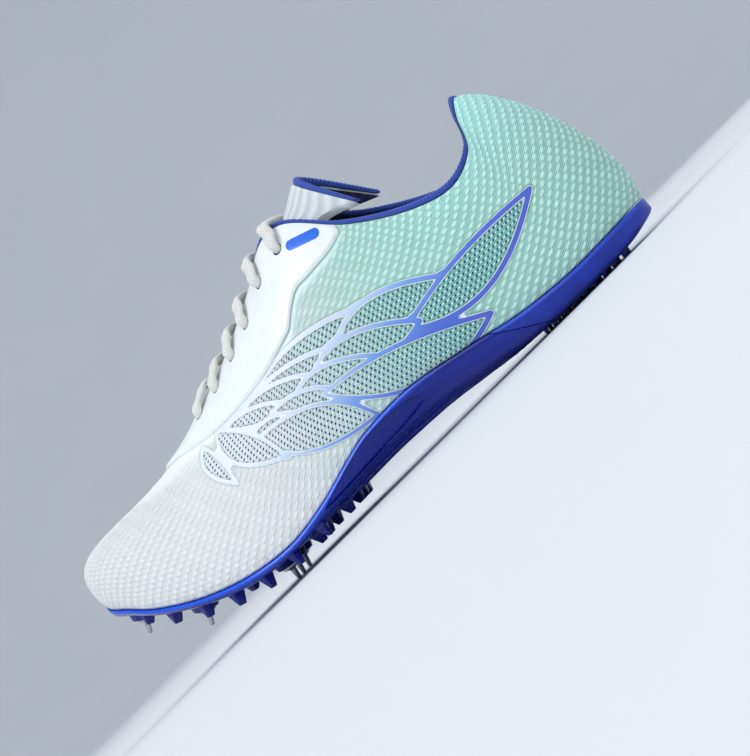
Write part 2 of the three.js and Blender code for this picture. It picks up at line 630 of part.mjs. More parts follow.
function plateGeometry() {
  let plate = soleSolid.intersect(plateRoom(0));
  STUDS.forEach((row) => { plate = plate.add(toSolid(studGeometry(row))); });
  SPIKES.forEach((row) => { plate = plate.add(toSolid(bossGeometry(row))); });
  SPIKES.forEach((row) => { plate = plate.subtract(toSolid(socketGeometry(row))); });
  for (let column = 0; column < TREAD.columns; column += 1) {
    for (let row = 0; row < TREAD.rows; row += 1) plate = plate.add(toSolid(lugGeometry(column, row)));
  }
  return fromSolid(plate);
}

const heelGeometry = () => fromSolid(soleSolid.subtract(plateRoom(GAP)));

// Eyelets: six to a side, where the laces go in, placed by their distance along the shoe
const EYELETS = [0.388, 0.443, 0.499, 0.547, 0.597, 0.644]; // shares of LOOP_LENGTH
const EYELET_HEIGHT = 0.84; // up the skin
const EYELET_RADIUS = 2.6;
const PUNCH = 8; // length of the punch that cuts them
const THROAT = { from: 0.4, to: 0.97 }; // sections between which the skin is searched
const SEARCH = 30; // halvings of that search

function turnForX(x, height) {
  let low = turnAt(THROAT.from);
  let high = turnAt(THROAT.to);
  for (let i = 0; i < SEARCH; i += 1) {
    const middle = (low + high) / 2;
    if (skin(middle, height).x < x) low = middle;
    else high = middle;
  }
  return low;
}

const eyeletTurns = EYELETS.map((share) => turnForX(xAt(share), EYELET_HEIGHT));
const eyelets = eyeletTurns.flatMap((turn) => [turn, 2 * Math.PI - turn]);

function withEyelets(geometry) {
  let solid = toSolid(geometry);
  eyelets.forEach((turn) => {
    const hole = new THREE.CylinderGeometry(EYELET_RADIUS, EYELET_RADIUS, PUNCH, HOLE_SIDES, 1);
    stand(hole, skin(turn, EYELET_HEIGHT), skinNormal(turn, EYELET_HEIGHT));
    solid = solid.subtract(toSolid(hole));
  });
  return fromSolid(solid);
}

// Eyestay: smooth film fused round the throat. low is where its lower edge runs, up the skin.
const EYESTAY = [
  { along: 0.392, low: 0.93 }, { along: 0.416, low: 0.79 }, { along: 0.448, low: 0.68 }, { along: 0.474, low: 0.63 },
  { along: 0.487, low: 0.58 }, { along: 0.5, low: 0.53 }, { along: 0.55, low: 0.545 }, { along: 0.61, low: 0.58 },
  { along: 0.66, low: 0.61 }, { along: 0.72, low: 0.65 }, { along: 0.8, low: 0.71 }, { along: 0.9, low: 0.79 },
  { along: 1, low: 0.83 },
];
const EYESTAY_TOP = 0.995;
const EYESTAY_ROWS = 4;
const eyestayLow = along(EYESTAY, 'low');

function eyestayGeometry() {
  const first = Math.ceil((turnAt(EYESTAY[0].along) / (2 * Math.PI)) * COLUMNS);
  const turns = steps(COLUMNS, 0, 2 * Math.PI).slice(first, COLUMNS + 1 - first);
  const face = (distance) => turns.map((turn) => {
    const low = eyestayLow(Math.min(turn, 2 * Math.PI - turn));
    return steps(EYESTAY_ROWS, low, EYESTAY_TOP).map((height) => offSkin(turn, height, distance));
  });
  return slabSolid(face(FILM_GAP + FILM), face(FILM_GAP));
}

// Bindings: a round bead along an edge, from the edge's middle, the way out of it and its face's normal.
const EDGE = 0.03; // share of a face that gives its direction at its edge
const TONGUE_RIM = 0.97; // how far the tongue's binding runs across, as a share of its half width
const TONGUE_RIM_STEPS = 14;
const ringAngles = steps(BEAD_SIDES, 0, 2 * Math.PI).slice(0, -1);

function beadRing(point, out, normal, radius) {
  const centre = point.clone().addScaledVector(out, GAP + radius);
  return ringAngles.map((angle) => centre.clone()
    .addScaledVector(normal, radius * Math.cos(angle))
    .addScaledVector(out, radius * Math.sin(angle)));
}

function collarBindingGeometry() {
  const rings = steps(COLUMNS, 0, 2 * Math.PI).slice(0, -1).map((turn) => {
    const normal = skinNormal(turn, 1);
    const out = skin(turn, 1).sub(skin(turn, 1 - EDGE)).normalize();
    return beadRing(offSkin(turn, 1, -WALL / 2), out, normal, BEAD);
  });
  return tubeSolid(rings, true);
}

function tongueBindingGeometry() {
  const rings = steps(TONGUE_RIM_STEPS, TONGUE_RIM, -TONGUE_RIM).map((side) => {
    const point = tonguePoint(1, side, 0).add(tonguePoint(1, side, 1)).multiplyScalar(0.5);
    const out = tonguePoint(1, side, 0).sub(tonguePoint(1 - EDGE, side, 0)).normalize();
    const normal = tonguePoint(1, side, 0).sub(tonguePoint(1, side, 1)).normalize();
    return beadRing(point, out, normal, BEAD);
  });
  return tubeSolid(rings, false);
}

// Laces: one flat oval bar to each pair of eyelets, its ends turned down into them
const LACE = { wide: 2.9, thick: 1.4, end: 1.45, deep: 1.2, overFilm: 0.45, lift: 0.9, steps: 12, taper: 0.14 };
const LACE_HEIGHTS = { fold: 0.865, side: 0.93 }; // up the skin: where a bar leaves its eyelet, and before the edge
const AHEAD = 0.1; // turn on each side of a bar that gives its direction along the shoe

function laceGeometry(turn) {
  const face = FILM_GAP + FILM + GAP + LACE.thick;
  const leg = (sign) => {
    const at = sign > 0 ? turn : 2 * Math.PI - turn;
    return [
      offSkin(at, EYELET_HEIGHT, -LACE.deep),
      offSkin(at, EYELET_HEIGHT, LACE.deep),
      offSkin(at, LACE_HEIGHTS.fold, face + LACE.overFilm),
      offSkin(at, LACE_HEIGHTS.side, face + LACE.overFilm),
      offSkin(at, 1, face + LACE.lift),
    ];
  };
  const line = new THREE.CatmullRomCurve3([...leg(1), ...leg(-1).reverse()], false, 'centripetal');
  const lengthways = skin(turn + AHEAD, 1).sub(skin(turn - AHEAD, 1)).normalize();
  const rings = steps(LACE.steps, 0, 1).map((t) => {
    const tangent = line.getTangentAt(t);
    const normal = new THREE.Vector3().crossVectors(lengthways, tangent).normalize();
    const across = new THREE.Vector3().crossVectors(tangent, normal).normalize();
    const nearEnd = Math.min(1, Math.min(t, 1 - t) / LACE.taper);
    const wide = LACE.end + (LACE.wide - LACE.end) * nearEnd;
    const thick = LACE.thick;
    const centre = line.getPointAt(t);
    return ringAngles.map((angle) => centre.clone()
      .addScaledVector(across, wide * Math.cos(angle))
      .addScaledVector(normal, -thick * Math.sin(angle)));
  });
  return tubeSolid(rings, false);
}

const root = new THREE.Group();
root.name = 'track_spike_shoe';

function add(name, geometry, colour, roughness, metalness) {
  const material = new THREE.MeshStandardMaterial({ color: colour, roughness, metalness });
  const mesh = new THREE.Mesh(geometry, material);
  mesh.name = name;
  root.add(mesh);
}

add('upper', withEyelets(upperGeometry()), 0xd9f2ec, 0.85, 0);
add('spike_plate', plateGeometry(), 0x12309a, 0.3, 0);
add('heel_midsole', heelGeometry(), 0x1b3fa8, 0.6, 0);
add('insole', insoleGeometry(), 0x1a2350, 0.9, 0);
add('tongue', tongueGeometry(), 0xeef2f2, 0.9, 0);
add('eyestay', withEyelets(eyestayGeometry()), 0xf4f6f6, 0.5, 0);
add('collar_binding', collarBindingGeometry(), 0x2846be, 0.9, 0);
add('tongue_binding', tongueBindingGeometry(), 0x2846be, 0.9, 0);
eyeletTurns.forEach((turn, i) => add(`lace_bar_${i + 1}`, laceGeometry(turn), 0xe8e8de, 0.9, 0));
SPIKES.forEach((row, i) => add(`spike_${i + 1}`, spikeGeometry(row), 0xb8bcc2, 0.3, 1));

// Put the origin on the floor under the middle of the whole shoe.
const middle = new THREE.Box3().setFromObject(root).getCenter(new THREE.Vector3());
root.children.forEach((mesh) => mesh.geometry.translate(-middle.x, -middle.y, 0));

export default root;
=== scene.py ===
# %% [markdown]
# # A sprint shoe with steel spikes
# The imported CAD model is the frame: it is loaded first and never moved. Every piece below is
# built round it in metres, in the same place, and rides on its one body, called root.

# %% Load the frame
import math
import bmesh
import bpy
import numpy as np
from mathutils import Matrix, Vector


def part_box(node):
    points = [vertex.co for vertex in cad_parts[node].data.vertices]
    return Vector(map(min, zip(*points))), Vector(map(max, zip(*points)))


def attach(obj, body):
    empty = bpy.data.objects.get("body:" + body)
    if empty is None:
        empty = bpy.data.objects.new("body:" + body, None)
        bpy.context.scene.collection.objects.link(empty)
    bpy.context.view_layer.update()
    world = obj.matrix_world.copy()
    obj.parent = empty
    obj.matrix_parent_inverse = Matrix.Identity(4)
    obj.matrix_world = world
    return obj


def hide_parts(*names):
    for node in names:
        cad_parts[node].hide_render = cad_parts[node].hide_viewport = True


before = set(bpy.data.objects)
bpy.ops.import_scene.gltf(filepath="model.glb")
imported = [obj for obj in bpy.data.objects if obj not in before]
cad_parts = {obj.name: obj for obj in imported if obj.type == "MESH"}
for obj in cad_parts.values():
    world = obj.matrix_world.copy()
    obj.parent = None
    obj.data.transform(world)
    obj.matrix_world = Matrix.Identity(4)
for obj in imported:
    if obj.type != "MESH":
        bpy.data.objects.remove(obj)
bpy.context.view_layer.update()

MM = 0.001


# %% [markdown]
# ## The camera
# The shoe is seen from its outer side, a little from behind, by a long lens that is rolled so that
# the toe points down to the left. The camera is as low as the floor lets it be.

# %% Camera
CAMERA_AZIMUTH = 198
CAMERA_AWAY = 0.7
CAMERA_HEIGHT = 0.012
CAMERA_ROLL = 45.0
CAMERA_LENS = 87.9
CAMERA_SEES = (0.005, 30)
AIM = Vector((-0.0141, 0.0, 0.0342))


def add_object(name, data):
    """Makes an object of some data and puts it in the scene."""
    made = bpy.data.objects.new(name, data)
    bpy.context.scene.collection.objects.link(made)
    return made


side = math.radians(CAMERA_AZIMUTH)
camera = add_object("camera", bpy.data.cameras.new("camera"))
camera.location = (AIM.x + math.sin(side) * CAMERA_AWAY, AIM.y - math.cos(side) * CAMERA_AWAY, CAMERA_HEIGHT)
look = (AIM - camera.location).to_track_quat("-Z", "Y").to_matrix().to_4x4()
camera.rotation_euler = (look @ Matrix.Rotation(math.radians(-CAMERA_ROLL), 4, "Z")).to_euler()
camera.data.lens = CAMERA_LENS
camera.data.clip_start, camera.data.clip_end = CAMERA_SEES
bpy.context.scene.camera = camera
print("camera at", [round(v, 3) for v in camera.location])

# %% [markdown]
# ## The shape of the shoe as one function
# A shoe is made round a last, so its upper is described here as a last maker would: sections from
# heel to toe, each with the bite line where the upper meets the sole, the collar or throat edge
# above it, and how far the side swells in between. All numbers are shares of named sizes.

# %% Named sizes and section tables
LOOP_LENGTH, BALL, TALL = 269.5, 92, 100  # the bite line's length, the ball's width, the height in mm
HEEL_X = -134
WALL = 1.8  # the knit's thickness
GAP = 0.3  # the least gap between two pieces
STEP = 0.01  # a small turn or share, to measure a direction


def table(names, rows):
    """A table whose columns are read by name."""
    return dict(zip(names.split(), np.array(rows, float).T))


SECTIONS = table("along lat med latUp medUp rimAlong rimLat rimMed rimUp lowOut lowUp highOut highUp", [
    (0, 0, 0, 0.11, 0.11, 0.077, 0, 0, 0.845, 0.109, 0.22, 0.152, -0.085),
    (0.02, 0.136, 0.136, 0.11, 0.11, 0.08, 0.076, 0.076, 0.835, 0.103, 0.22, 0.13, -0.09),
    (0.06, 0.239, 0.234, 0.105, 0.105, 0.088, 0.163, 0.16, 0.775, 0.087, 0.21, 0.1, -0.11),
    (0.12, 0.304, 0.293, 0.105, 0.105, 0.102, 0.255, 0.25, 0.66, 0.06, 0.18, 0.06, -0.14),
    (0.2, 0.332, 0.304, 0.128, 0.135, 0.15, 0.3, 0.29, 0.61, 0.043, 0.15, 0.045, -0.15),
    (0.29, 0.348, 0.293, 0.18, 0.19, 0.217, 0.283, 0.277, 0.67, 0.043, 0.16, 0.06, -0.15),
    (0.38, 0.37, 0.293, 0.223, 0.24, 0.295, 0.212, 0.212, 0.805, 0.038, 0.18, 0.1, -0.15),
    (0.46, 0.413, 0.32, 0.218, 0.24, 0.364, 0.13, 0.14, 0.98, 0.033, 0.24, 0.155, -0.14),
    (0.5, 0.435, 0.342, 0.195, 0.22, 0.408, 0.083, 0.098, 1, 0.033, 0.26, 0.185, -0.13),
    (0.57, 0.467, 0.397, 0.145, 0.165, 0.475, 0.06, 0.085, 0.908, 0.022, 0.26, 0.228, -0.11),
    (0.64, 0.48, 0.457, 0.122, 0.125, 0.538, 0.054, 0.09, 0.832, 0.016, 0.26, 0.25, -0.09),
    (0.72, 0.462, 0.489, 0.148, 0.138, 0.596, 0.05, 0.094, 0.774, 0.016, 0.25, 0.272, -0.08),
    (0.8, 0.402, 0.467, 0.21, 0.2, 0.64, 0.04, 0.092, 0.745, 0.022, 0.27, 0.315, -0.09),
    (0.88, 0.31, 0.402, 0.305, 0.3, 0.664, 0.02, 0.078, 0.728, 0.033, 0.31, 0.39, -0.125),
    (0.95, 0.168, 0.299, 0.41, 0.4, 0.676, -0.006, 0.055, 0.72, 0.049, 0.34, 0.457, -0.15),
    (1, -0.076, 0.076, 0.475, 0.475, 0.68, -0.027, 0.027, 0.718, 0.054, 0.35, 0.478, -0.16)])
SOLE = table("along under thick square", [
    (0, 0.065, 0.04, 0.5), (0.02, 0.04, 0.065, 0.5), (0.06, 0.02, 0.08, 0.5), (0.12, 0.015, 0.08, 0.5),
    (0.2, 0.018, 0.085, 0.55), (0.29, 0.048, 0.075, 0.7), (0.38, 0.078, 0.06, 0.85), (0.46, 0.09, 0.05, 0.85),
    (0.5, 0.092, 0.045, 0.8), (0.57, 0.089, 0.038, 0.6), (0.64, 0.085, 0.033, 0.42), (0.72, 0.102, 0.033, 0.38),
    (0.8, 0.163, 0.033, 0.38), (0.88, 0.258, 0.033, 0.4), (0.95, 0.362, 0.035, 0.45), (1, 0.43, 0.036, 0.5)])

# %% Smooth lines through the tables
def smooth_curve(keys, values, closed=False):
    """A smooth line through keyed values, by cubic pieces with slopes taken across each key."""
    keys, values = np.asarray(keys, float), np.asarray(values, float)
    slopes = np.zeros_like(values)
    slopes[1:-1] = (values[2:] - values[:-2]) / (keys[2:] - keys[:-2])
    slopes[0] = (values[1] - values[0]) / (keys[1] - keys[0])
    slopes[-1] = (values[-1] - values[-2]) / (keys[-1] - keys[-2])
    if closed:
        slopes[[0, -1]] = (values[1] - values[-2]) / (keys[1] - keys[0] + keys[-1] - keys[-2])

    def read(at):
        i = np.searchsorted(keys[1:-1], at)
        span = keys[i + 1] - keys[i]
        t = (at - keys[i]) / span
        return ((2 * t**3 - 3 * t**2 + 1) * values[i] + (t**3 - 2 * t**2 + t) * span * slopes[i]
                + (3 * t**2 - 2 * t**3) * values[i + 1] + (t**3 - t**2) * span * slopes[i + 1])
    return read


def turn_at(along):
    """The angle round the shoe for a share of its length: 0 at the heel, pi at the toe."""
    return np.arccos(1 - 2 * np.asarray(along, float))


def x_at(along):
    return HEEL_X + along * LOOP_LENGTH


def loop(outer, inner=None, sign=1):
    """A closed line round the shoe from a column for the outer side and one for the inner side."""
    keys = turn_at(SECTIONS["along"])
    back = sign * SECTIONS[inner or outer][-2::-1]
    return smooth_curve(np.r_[keys, 2 * np.pi - keys[-2::-1]], np.r_[SECTIONS[outer], back], closed=True)


bite_out, bite_up = loop("lat", "med", -1), loop("latUp", "medUp")
rim_along, rim_out, rim_up = loop("rimAlong"), loop("rimLat", "rimMed", -1), loop("rimUp")
low_out, low_up, high_out, high_up = loop("lowOut"), loop("lowUp"), loop("highOut"), loop("highUp")
sole_under, sole_thick, sole_square = (
    smooth_curve(turn_at(SOLE["along"]), SOLE[name]) for name in ("under", "thick", "square"))

# %% The upper's face as a function
def unit(vectors):
    return vectors / np.maximum(np.linalg.norm(vectors, axis=-1, keepdims=True), 1e-12)


def bite_point(turn):
    """A point of the bite line, where the upper meets the sole."""
    turn = np.mod(turn, 2 * np.pi)
    return np.stack([x_at((1 - np.cos(turn)) / 2), bite_out(turn) * BALL, bite_up(turn) * TALL], -1)


def skin(turn, height):
    """The upper's outer face: height 0 on the bite line, 1 on the collar and throat edge."""
    turn, height = np.broadcast_arrays(np.mod(turn, 2 * np.pi), height)
    ahead = bite_point(turn + 2 * STEP) - bite_point(turn - 2 * STEP)
    out = unit(np.stack([-ahead[..., 1], ahead[..., 0], 0 * turn], -1))
    foot = bite_point(turn)
    top = np.stack([x_at(rim_along(turn)), rim_out(turn) * BALL, rim_up(turn) * TALL], -1)
    low = foot + out * (low_out(turn) * BALL)[..., None]
    low[..., 2] += low_up(turn) * TALL
    high = top + out * (high_out(turn) * BALL)[..., None]
    high[..., 2] += high_up(turn) * TALL
    up = height[..., None]
    rest = 1 - up
    return foot * rest**3 + low * 3 * rest**2 * up + high * 3 * rest * up**2 + top * up**3


def skin_normal(turn, height):
    around = skin(turn + STEP, height) - skin(turn - STEP, height)
    upward = skin(turn, np.minimum(height + STEP, 1)) - skin(turn, np.maximum(height - STEP, 0))
    return unit(np.cross(upward, around))


def off_skin(turn, height, distance):
    """A point off the upper's face by a distance in mm."""
    turn, height, distance = np.broadcast_arrays(turn, height, distance)
    return skin(turn, height) + skin_normal(turn, height) * distance[..., None]


CAD_STEPS, CAD_ROWS = 58, 11
corners = skin(*np.meshgrid(np.linspace(0, 2 * np.pi, CAD_STEPS + 1), np.linspace(0, 1, CAD_ROWS + 1)))
upper_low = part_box("upper")[0]
SHIFT = np.array([upper_low.x / MM, upper_low.y / MM, 0]) - [corners[..., 0].min(), corners[..., 1].min(), 0]
print("the shoe's own zero is moved by", SHIFT.round(2), "mm")

# %% [markdown]
# ## From a flat grid to a shaped piece
# Cloth, film and moulded skins all start the same way here: a flat grid from bmesh, whose corners
# are carried to their places. The grid can keep a flat pattern as its UV map, so that a weave
# follows the surface. Edges that meet are then merged, and the faces are turned outwards.

# %% Helpers for pieces
def finish_piece(name, mesh, finishes, replaces=()):
    """Makes the object of a finished mesh, hangs it on the root body, and hides the CAD parts it replaces."""
    mesh.name = name
    piece = add_object(name, mesh)
    if mesh.materials:
        mesh.materials.clear()
    for finish in finishes:
        mesh.materials.append(finish.material)
    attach(piece, "root")
    if replaces:
        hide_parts(*replaces)
    print(name, len(mesh.polygons), "faces")


def write_mesh(bm, mesh="mesh"):
    """Writes a bmesh to a mesh, or to a new one of that name, and frees it."""
    if isinstance(mesh, str):
        mesh = bpy.data.meshes.new(mesh)
    bm.to_mesh(mesh)
    bm.free()
    return mesh


def soften(bm, crease_angle=180):
    """Shades a mesh smoothly, except across edges that are sharper than an angle."""
    for face in bm.faces:
        face.smooth = True
    for edge in bm.edges:
        edge.smooth = not (edge.is_manifold and edge.calc_face_angle(0) > math.radians(crease_angle))


def close_and_turn(bm, merge=0.00001):
    """Merges doubles, fills open ends and turns the faces outwards."""
    bmesh.ops.remove_doubles(bm, verts=bm.verts, dist=merge)
    bmesh.ops.dissolve_degenerate(bm, edges=bm.edges, dist=merge / 10)
    open_edges = [edge for edge in bm.edges if edge.is_boundary]
    if open_edges:
        bmesh.ops.holes_fill(bm, edges=open_edges)
    bmesh.ops.recalc_face_normals(bm, faces=bm.faces)
    if bm.calc_volume(signed=True) < 0:
        bmesh.ops.reverse_faces(bm, faces=bm.faces)


def shaped_grid(points, values=None, flat=None, second=None, crease_angle=180):
    """A flat grid carried to an array of points in mm; rows from second on take the second finish."""
    columns, rows = points.shape[0] - 1, points.shape[1] - 1
    bm = bmesh.new()
    bmesh.ops.create_grid(bm, x_segments=columns, y_segments=rows, size=0.5)
    mesh = write_mesh(bm)
    start = np.empty(len(mesh.vertices) * 3, np.float32)
    mesh.vertices.foreach_get("co", start)
    u, v = np.round((start.reshape(-1, 3)[:, :2] + 0.5) * (columns, rows)).astype(int).T
    mesh.vertices.foreach_set("co", ((points[u, v] + SHIFT) * MM).astype(np.float32).ravel())
    for key, value in (values or {}).items():
        mesh.attributes.new(key, "FLOAT", "POINT").data.foreach_set("value", value[u, v].astype(np.float32))
    corner = np.empty(len(mesh.loops), np.int32)
    mesh.loops.foreach_get("vertex_index", corner)
    if flat is not None:
        mesh.uv_layers.new(name="pattern").data.foreach_set("uv", flat[u, v][corner].astype(np.float32).ravel())
    if second is not None:
        low_row = v[corner].reshape(-1, 4).min(axis=1)
        mesh.polygons.foreach_set("material_index", (low_row >= second).astype(np.int32))
    bm = bmesh.new()
    bm.from_mesh(mesh)
    close_and_turn(bm)
    soften(bm, crease_angle)
    return write_mesh(bm, mesh)


def ease(value, low, high):
    """0 at low, 1 at high, and a soft step in between."""
    t = np.clip((np.asarray(value, float) - low) / (high - low), 0, 1)
    return t * t * (3 - 2 * t)


def run_along(points, axis):
    """The length walked along an axis of a grid of points."""
    walked = np.cumsum(np.linalg.norm(np.diff(points, axis=axis), axis=-1), axis=axis)
    return np.concatenate([np.zeros_like(np.take(walked, [0], axis=axis)), walked], axis=axis)

# %% [markdown]
# ## Finishes
# Each finish is a small node tree. The helper below adds one node at a time and gives back its
# output, so a finish reads from top to bottom as colour, roughness and relief.

# %% A helper for finishes
def tone(red, green, blue):
    """A screen colour of 0 to 255 as the linear colour that the shader wants."""
    linear = [((c / 255 + 0.055) / 1.055) ** 2.4 if c > 10 else c / 255 / 12.92 for c in (red, green, blue)]
    return (*linear, 1)


class Finish:
    """A material under construction."""

    def __init__(self, name, rough=0.6, **fixed):
        self.material = bpy.data.materials.new(name)
        self.material.use_nodes = True
        self.tree = self.material.node_tree
        self.shader = self.tree.nodes["Principled BSDF"]
        self.shader.inputs["Roughness"].default_value = rough
        for key, value in fixed.items():
            self.shader.inputs[key.replace("_", " ")].default_value = value
        self.place = self.node("TexCoord").outputs["Object"]

    def node(self, kind, feeds=(), **settings):
        made = self.tree.nodes.new("ShaderNode" + kind)
        for key, value in settings.items():
            setattr(made, key, value)
        for key, value in dict(feeds).items():
            self.feed(made.inputs[key], value)
        return made

    def feed(self, socket, value):
        if isinstance(value, bpy.types.NodeSocket):
            self.tree.links.new(value, socket)
        else:
            socket.default_value = value

    def math(self, operation, *values):
        return self.node("Math", dict(enumerate(values)), operation=operation).outputs[0]

    def times(self, first, second):
        return self.math("MULTIPLY", first, second)

    def plus(self, first, second):
        return self.math("ADD", first, second)

    def minus(self, first, second):
        return self.math("SUBTRACT", first, second)

    def rest(self, value):
        return self.minus(1.0, value)

    def ease(self, value, low, high, start=0.0, end=1.0):
        feeds = {0: value, 1: low, 2: high, 3: start, 4: end}
        return self.node("MapRange", feeds, interpolation_type="SMOOTHSTEP").outputs[0]

    def mix(self, share, first, second):
        feeds = {"Factor": share, 6: first, 7: second}
        return self.node("Mix", feeds, data_type="RGBA").outputs[2]

    def ramp(self, value, *stops):
        """Colours along a value: each stop is (place, colour)."""
        made = self.node("ValToRGB", {0: value})
        band = made.color_ramp
        while len(band.elements) < len(stops):
            band.elements.new(0.5)
        for element, (at, colour) in zip(band.elements, stops):
            element.position, element.color = at, colour
        return made.outputs[0]

    def noise(self, scale, detail=3.0, vector=None, rough=0.5):
        feeds = {"Vector": vector or self.place, "Scale": scale, "Detail": detail, "Roughness": rough}
        return self.node("TexNoise", feeds).outputs[0]

    def attribute(self, name):
        return self.node("Attribute", attribute_name=name).outputs["Fac"]

    def pattern(self):
        """The flat pattern's two coordinates, in mm."""
        return self.node("SeparateXYZ", {0: self.node("UVMap", uv_map="pattern").outputs[0]}).outputs[:2]

    def axes(self):
        """The place on the object along x, y and z, in mm."""
        apart = self.node("SeparateXYZ", {0: self.place}).outputs
        return [self.times(one, 1000.0) for one in apart]

    def wave(self, value, length):
        """A ripple from 0 to 1 along a value."""
        turned = self.math("SINE", self.times(value, 2 * math.pi / length))
        return self.math("MULTIPLY_ADD", turned, 0.5, 0.5)

    def pads(self, u, v, lattice):
        """Slanted pads in staggered rows: 1 on a pad and 0 between pads."""
        row = self.math("FLOOR", self.math("DIVIDE", v, lattice["row"]))
        odd = self.math("FLOORED_MODULO", row, 2.0)
        moved = self.math("MULTIPLY_ADD", odd, lattice["pitch"] / 2, u)
        across = self.minus(self.math("FLOORED_MODULO", moved, lattice["pitch"]), lattice["pitch"] / 2)
        middle = self.times(self.plus(row, 0.5), lattice["row"])
        up = self.minus(v, middle)
        sine, cosine = math.sin(lattice["slant"]), math.cos(lattice["slant"])
        a = self.plus(self.times(across, cosine), self.times(up, sine))
        b = self.minus(self.times(up, cosine), self.times(across, sine))
        a, b = self.math("DIVIDE", a, lattice["long"]), self.math("DIVIDE", b, lattice["wide"])
        reach = self.math("SQRT", self.plus(self.times(a, a), self.times(b, b)))
        return self.ease(reach, lattice["core"], 1.1, 1.0, 0.0)

    def bump(self, height, distance, strength=1.0):
        """Relief of a height from 0 to 1 that stands a distance proud, in mm."""
        feeds = {"Height": height, "Distance": distance * MM, "Strength": strength}
        before = self.shader.inputs["Normal"].links
        if before:
            feeds["Normal"] = before[0].from_socket
        self.feed(self.shader.inputs["Normal"], self.node("Bump", feeds).outputs[0])

    def colour(self, value):
        self.feed(self.shader.inputs["Base Color"], value)

    def roughness(self, value):
        self.feed(self.shader.inputs["Roughness"], value)

# %% [markdown]
# ## The knitted upper
# The real upper is one knitted boot. Its wall is a ring: up the outer face, over the rim and down
# the inner face. A flat pattern is measured on the face first: how far a point lies towards the
# heel, and how far above the bite line. The knit's raised pads are laid out on that pattern.

# %% The upper's flat pattern
UPPER_COLUMNS, UPPER_ROWS, LINING_ROWS = 840, 100, 5
ring, level = np.linspace(0, 2 * np.pi, UPPER_COLUMNS + 1), np.linspace(0, 1, UPPER_ROWS + 1)
turns, heights = np.meshgrid(ring, level, indexing="ij")
face, face_out = skin(turns, heights), skin_normal(turns, heights)
up_run, round_run = run_along(face, 1), run_along(face, 0)
below_rim = up_run[:, -1:] - up_run
from_seam = np.minimum(round_run, round_run[-1:] - round_run)
middle_run, toe_run = round_run[UPPER_COLUMNS // 4], round_run[UPPER_COLUMNS // 2]
heelward = np.where(turns <= np.pi, middle_run - round_run, middle_run - 2 * toe_run + round_run)
print("face height in mm at the heel, middle and toe:", up_run[[0, 210, 420], -1].round(0))

# %% [markdown]
# The pads are small slanted grains in staggered rows. The same lattice is used twice: here it
# lifts the mesh, and in the finish it lightens each pad, so that colour and relief agree.

# %% Pads as relief
PADS = {"pitch": 4.6, "row": 2.15, "long": 1.85, "wide": 0.88, "slant": math.radians(25), "core": 0.35}
PAD_TALL = 0.42


def pad_shape(u, v, lattice):
    row = np.floor(v / lattice["row"])
    across = np.mod(u + np.mod(row, 2) * lattice["pitch"] / 2, lattice["pitch"]) - lattice["pitch"] / 2
    up = v - (row + 0.5) * lattice["row"]
    sine, cosine = math.sin(lattice["slant"]), math.cos(lattice["slant"])
    a, b = across * cosine + up * sine, up * cosine - across * sine
    return 1 - ease(np.hypot(a / lattice["long"], b / lattice["wide"]), lattice["core"], 1.1)

# %% [markdown]
# The side carries a row of leaf-shaped windows: a fused blue film frames each leaf, and the open
# mesh shows inside it. Every leaf is drawn in the shoe's side view by four points, and its edge is
# two soft arcs through them. The distance from that edge says what is frame and what is window.

# %% Leaves
LEAVES = table("frontX frontZ rearX rearZ topX topZ lowX lowZ", [
    (12, 61, -42, 54, -15, 63, -17, 54), (-23, 50, -72, 40, -44, 55, -43, 40),
    (-47, 37, -113, 41, -77, 42, -78, 27), (19, 60, -26, 50, -5, 59, -9, 50),
    (-9, 49, -53, 36, -29, 51, -32, 36), (26, 60, -13, 48, 4, 58, 5, 50),
    (0, 49, -36, 35, -17, 49, -16, 37), (32, 60, -1, 46, 15, 57, 17, 51),
    (11, 51, -16, 37, -5, 48, -1, 41), (24, 50, 0, 42, 12, 50, 13, 44),
    (-9, 42, -73, 20, -39, 36, -38, 19), (22, 48, -18, 23, -5, 41, 9, 31),
    (35, 62, 17, 36, 22, 50, 35, 48), (44, 61, 39, 42, 40, 54, 47, 53)])
FRAME = {"front": 1.6, "rear": 2.4, "from": 20, "to": -55, "fill": 3.8}
FAR = 30


def inside_leaf(points, front, rear, top, low):
    """How far inside a leaf's edge each point lies in mm, less than 0 outside it."""
    share = np.linspace(0, 1, 25)[:, None]

    def arc(through):
        pull = 2 * through - (front + rear) / 2
        return (1 - share) ** 2 * front + 2 * share * (1 - share) * pull + share**2 * rear
    outline = np.r_[arc(top), arc(low)[-2:0:-1]]
    nearest, inside = np.full(len(points), np.inf), np.zeros(len(points), bool)
    for start, end in zip(outline, np.roll(outline, -1, axis=0)):
        step, away = end - start, points - start
        t = np.clip(away @ step / (step @ step), 0, 1)
        nearest = np.minimum(nearest, np.linalg.norm(away - t[:, None] * step, axis=1))
        crossed = (start[1] > points[:, 1]) != (end[1] > points[:, 1])
        inside ^= crossed & (away[:, 0] * abs(step[1]) < away[:, 1] * step[0] * np.sign(step[1]))
    return np.where(inside, nearest, -nearest)


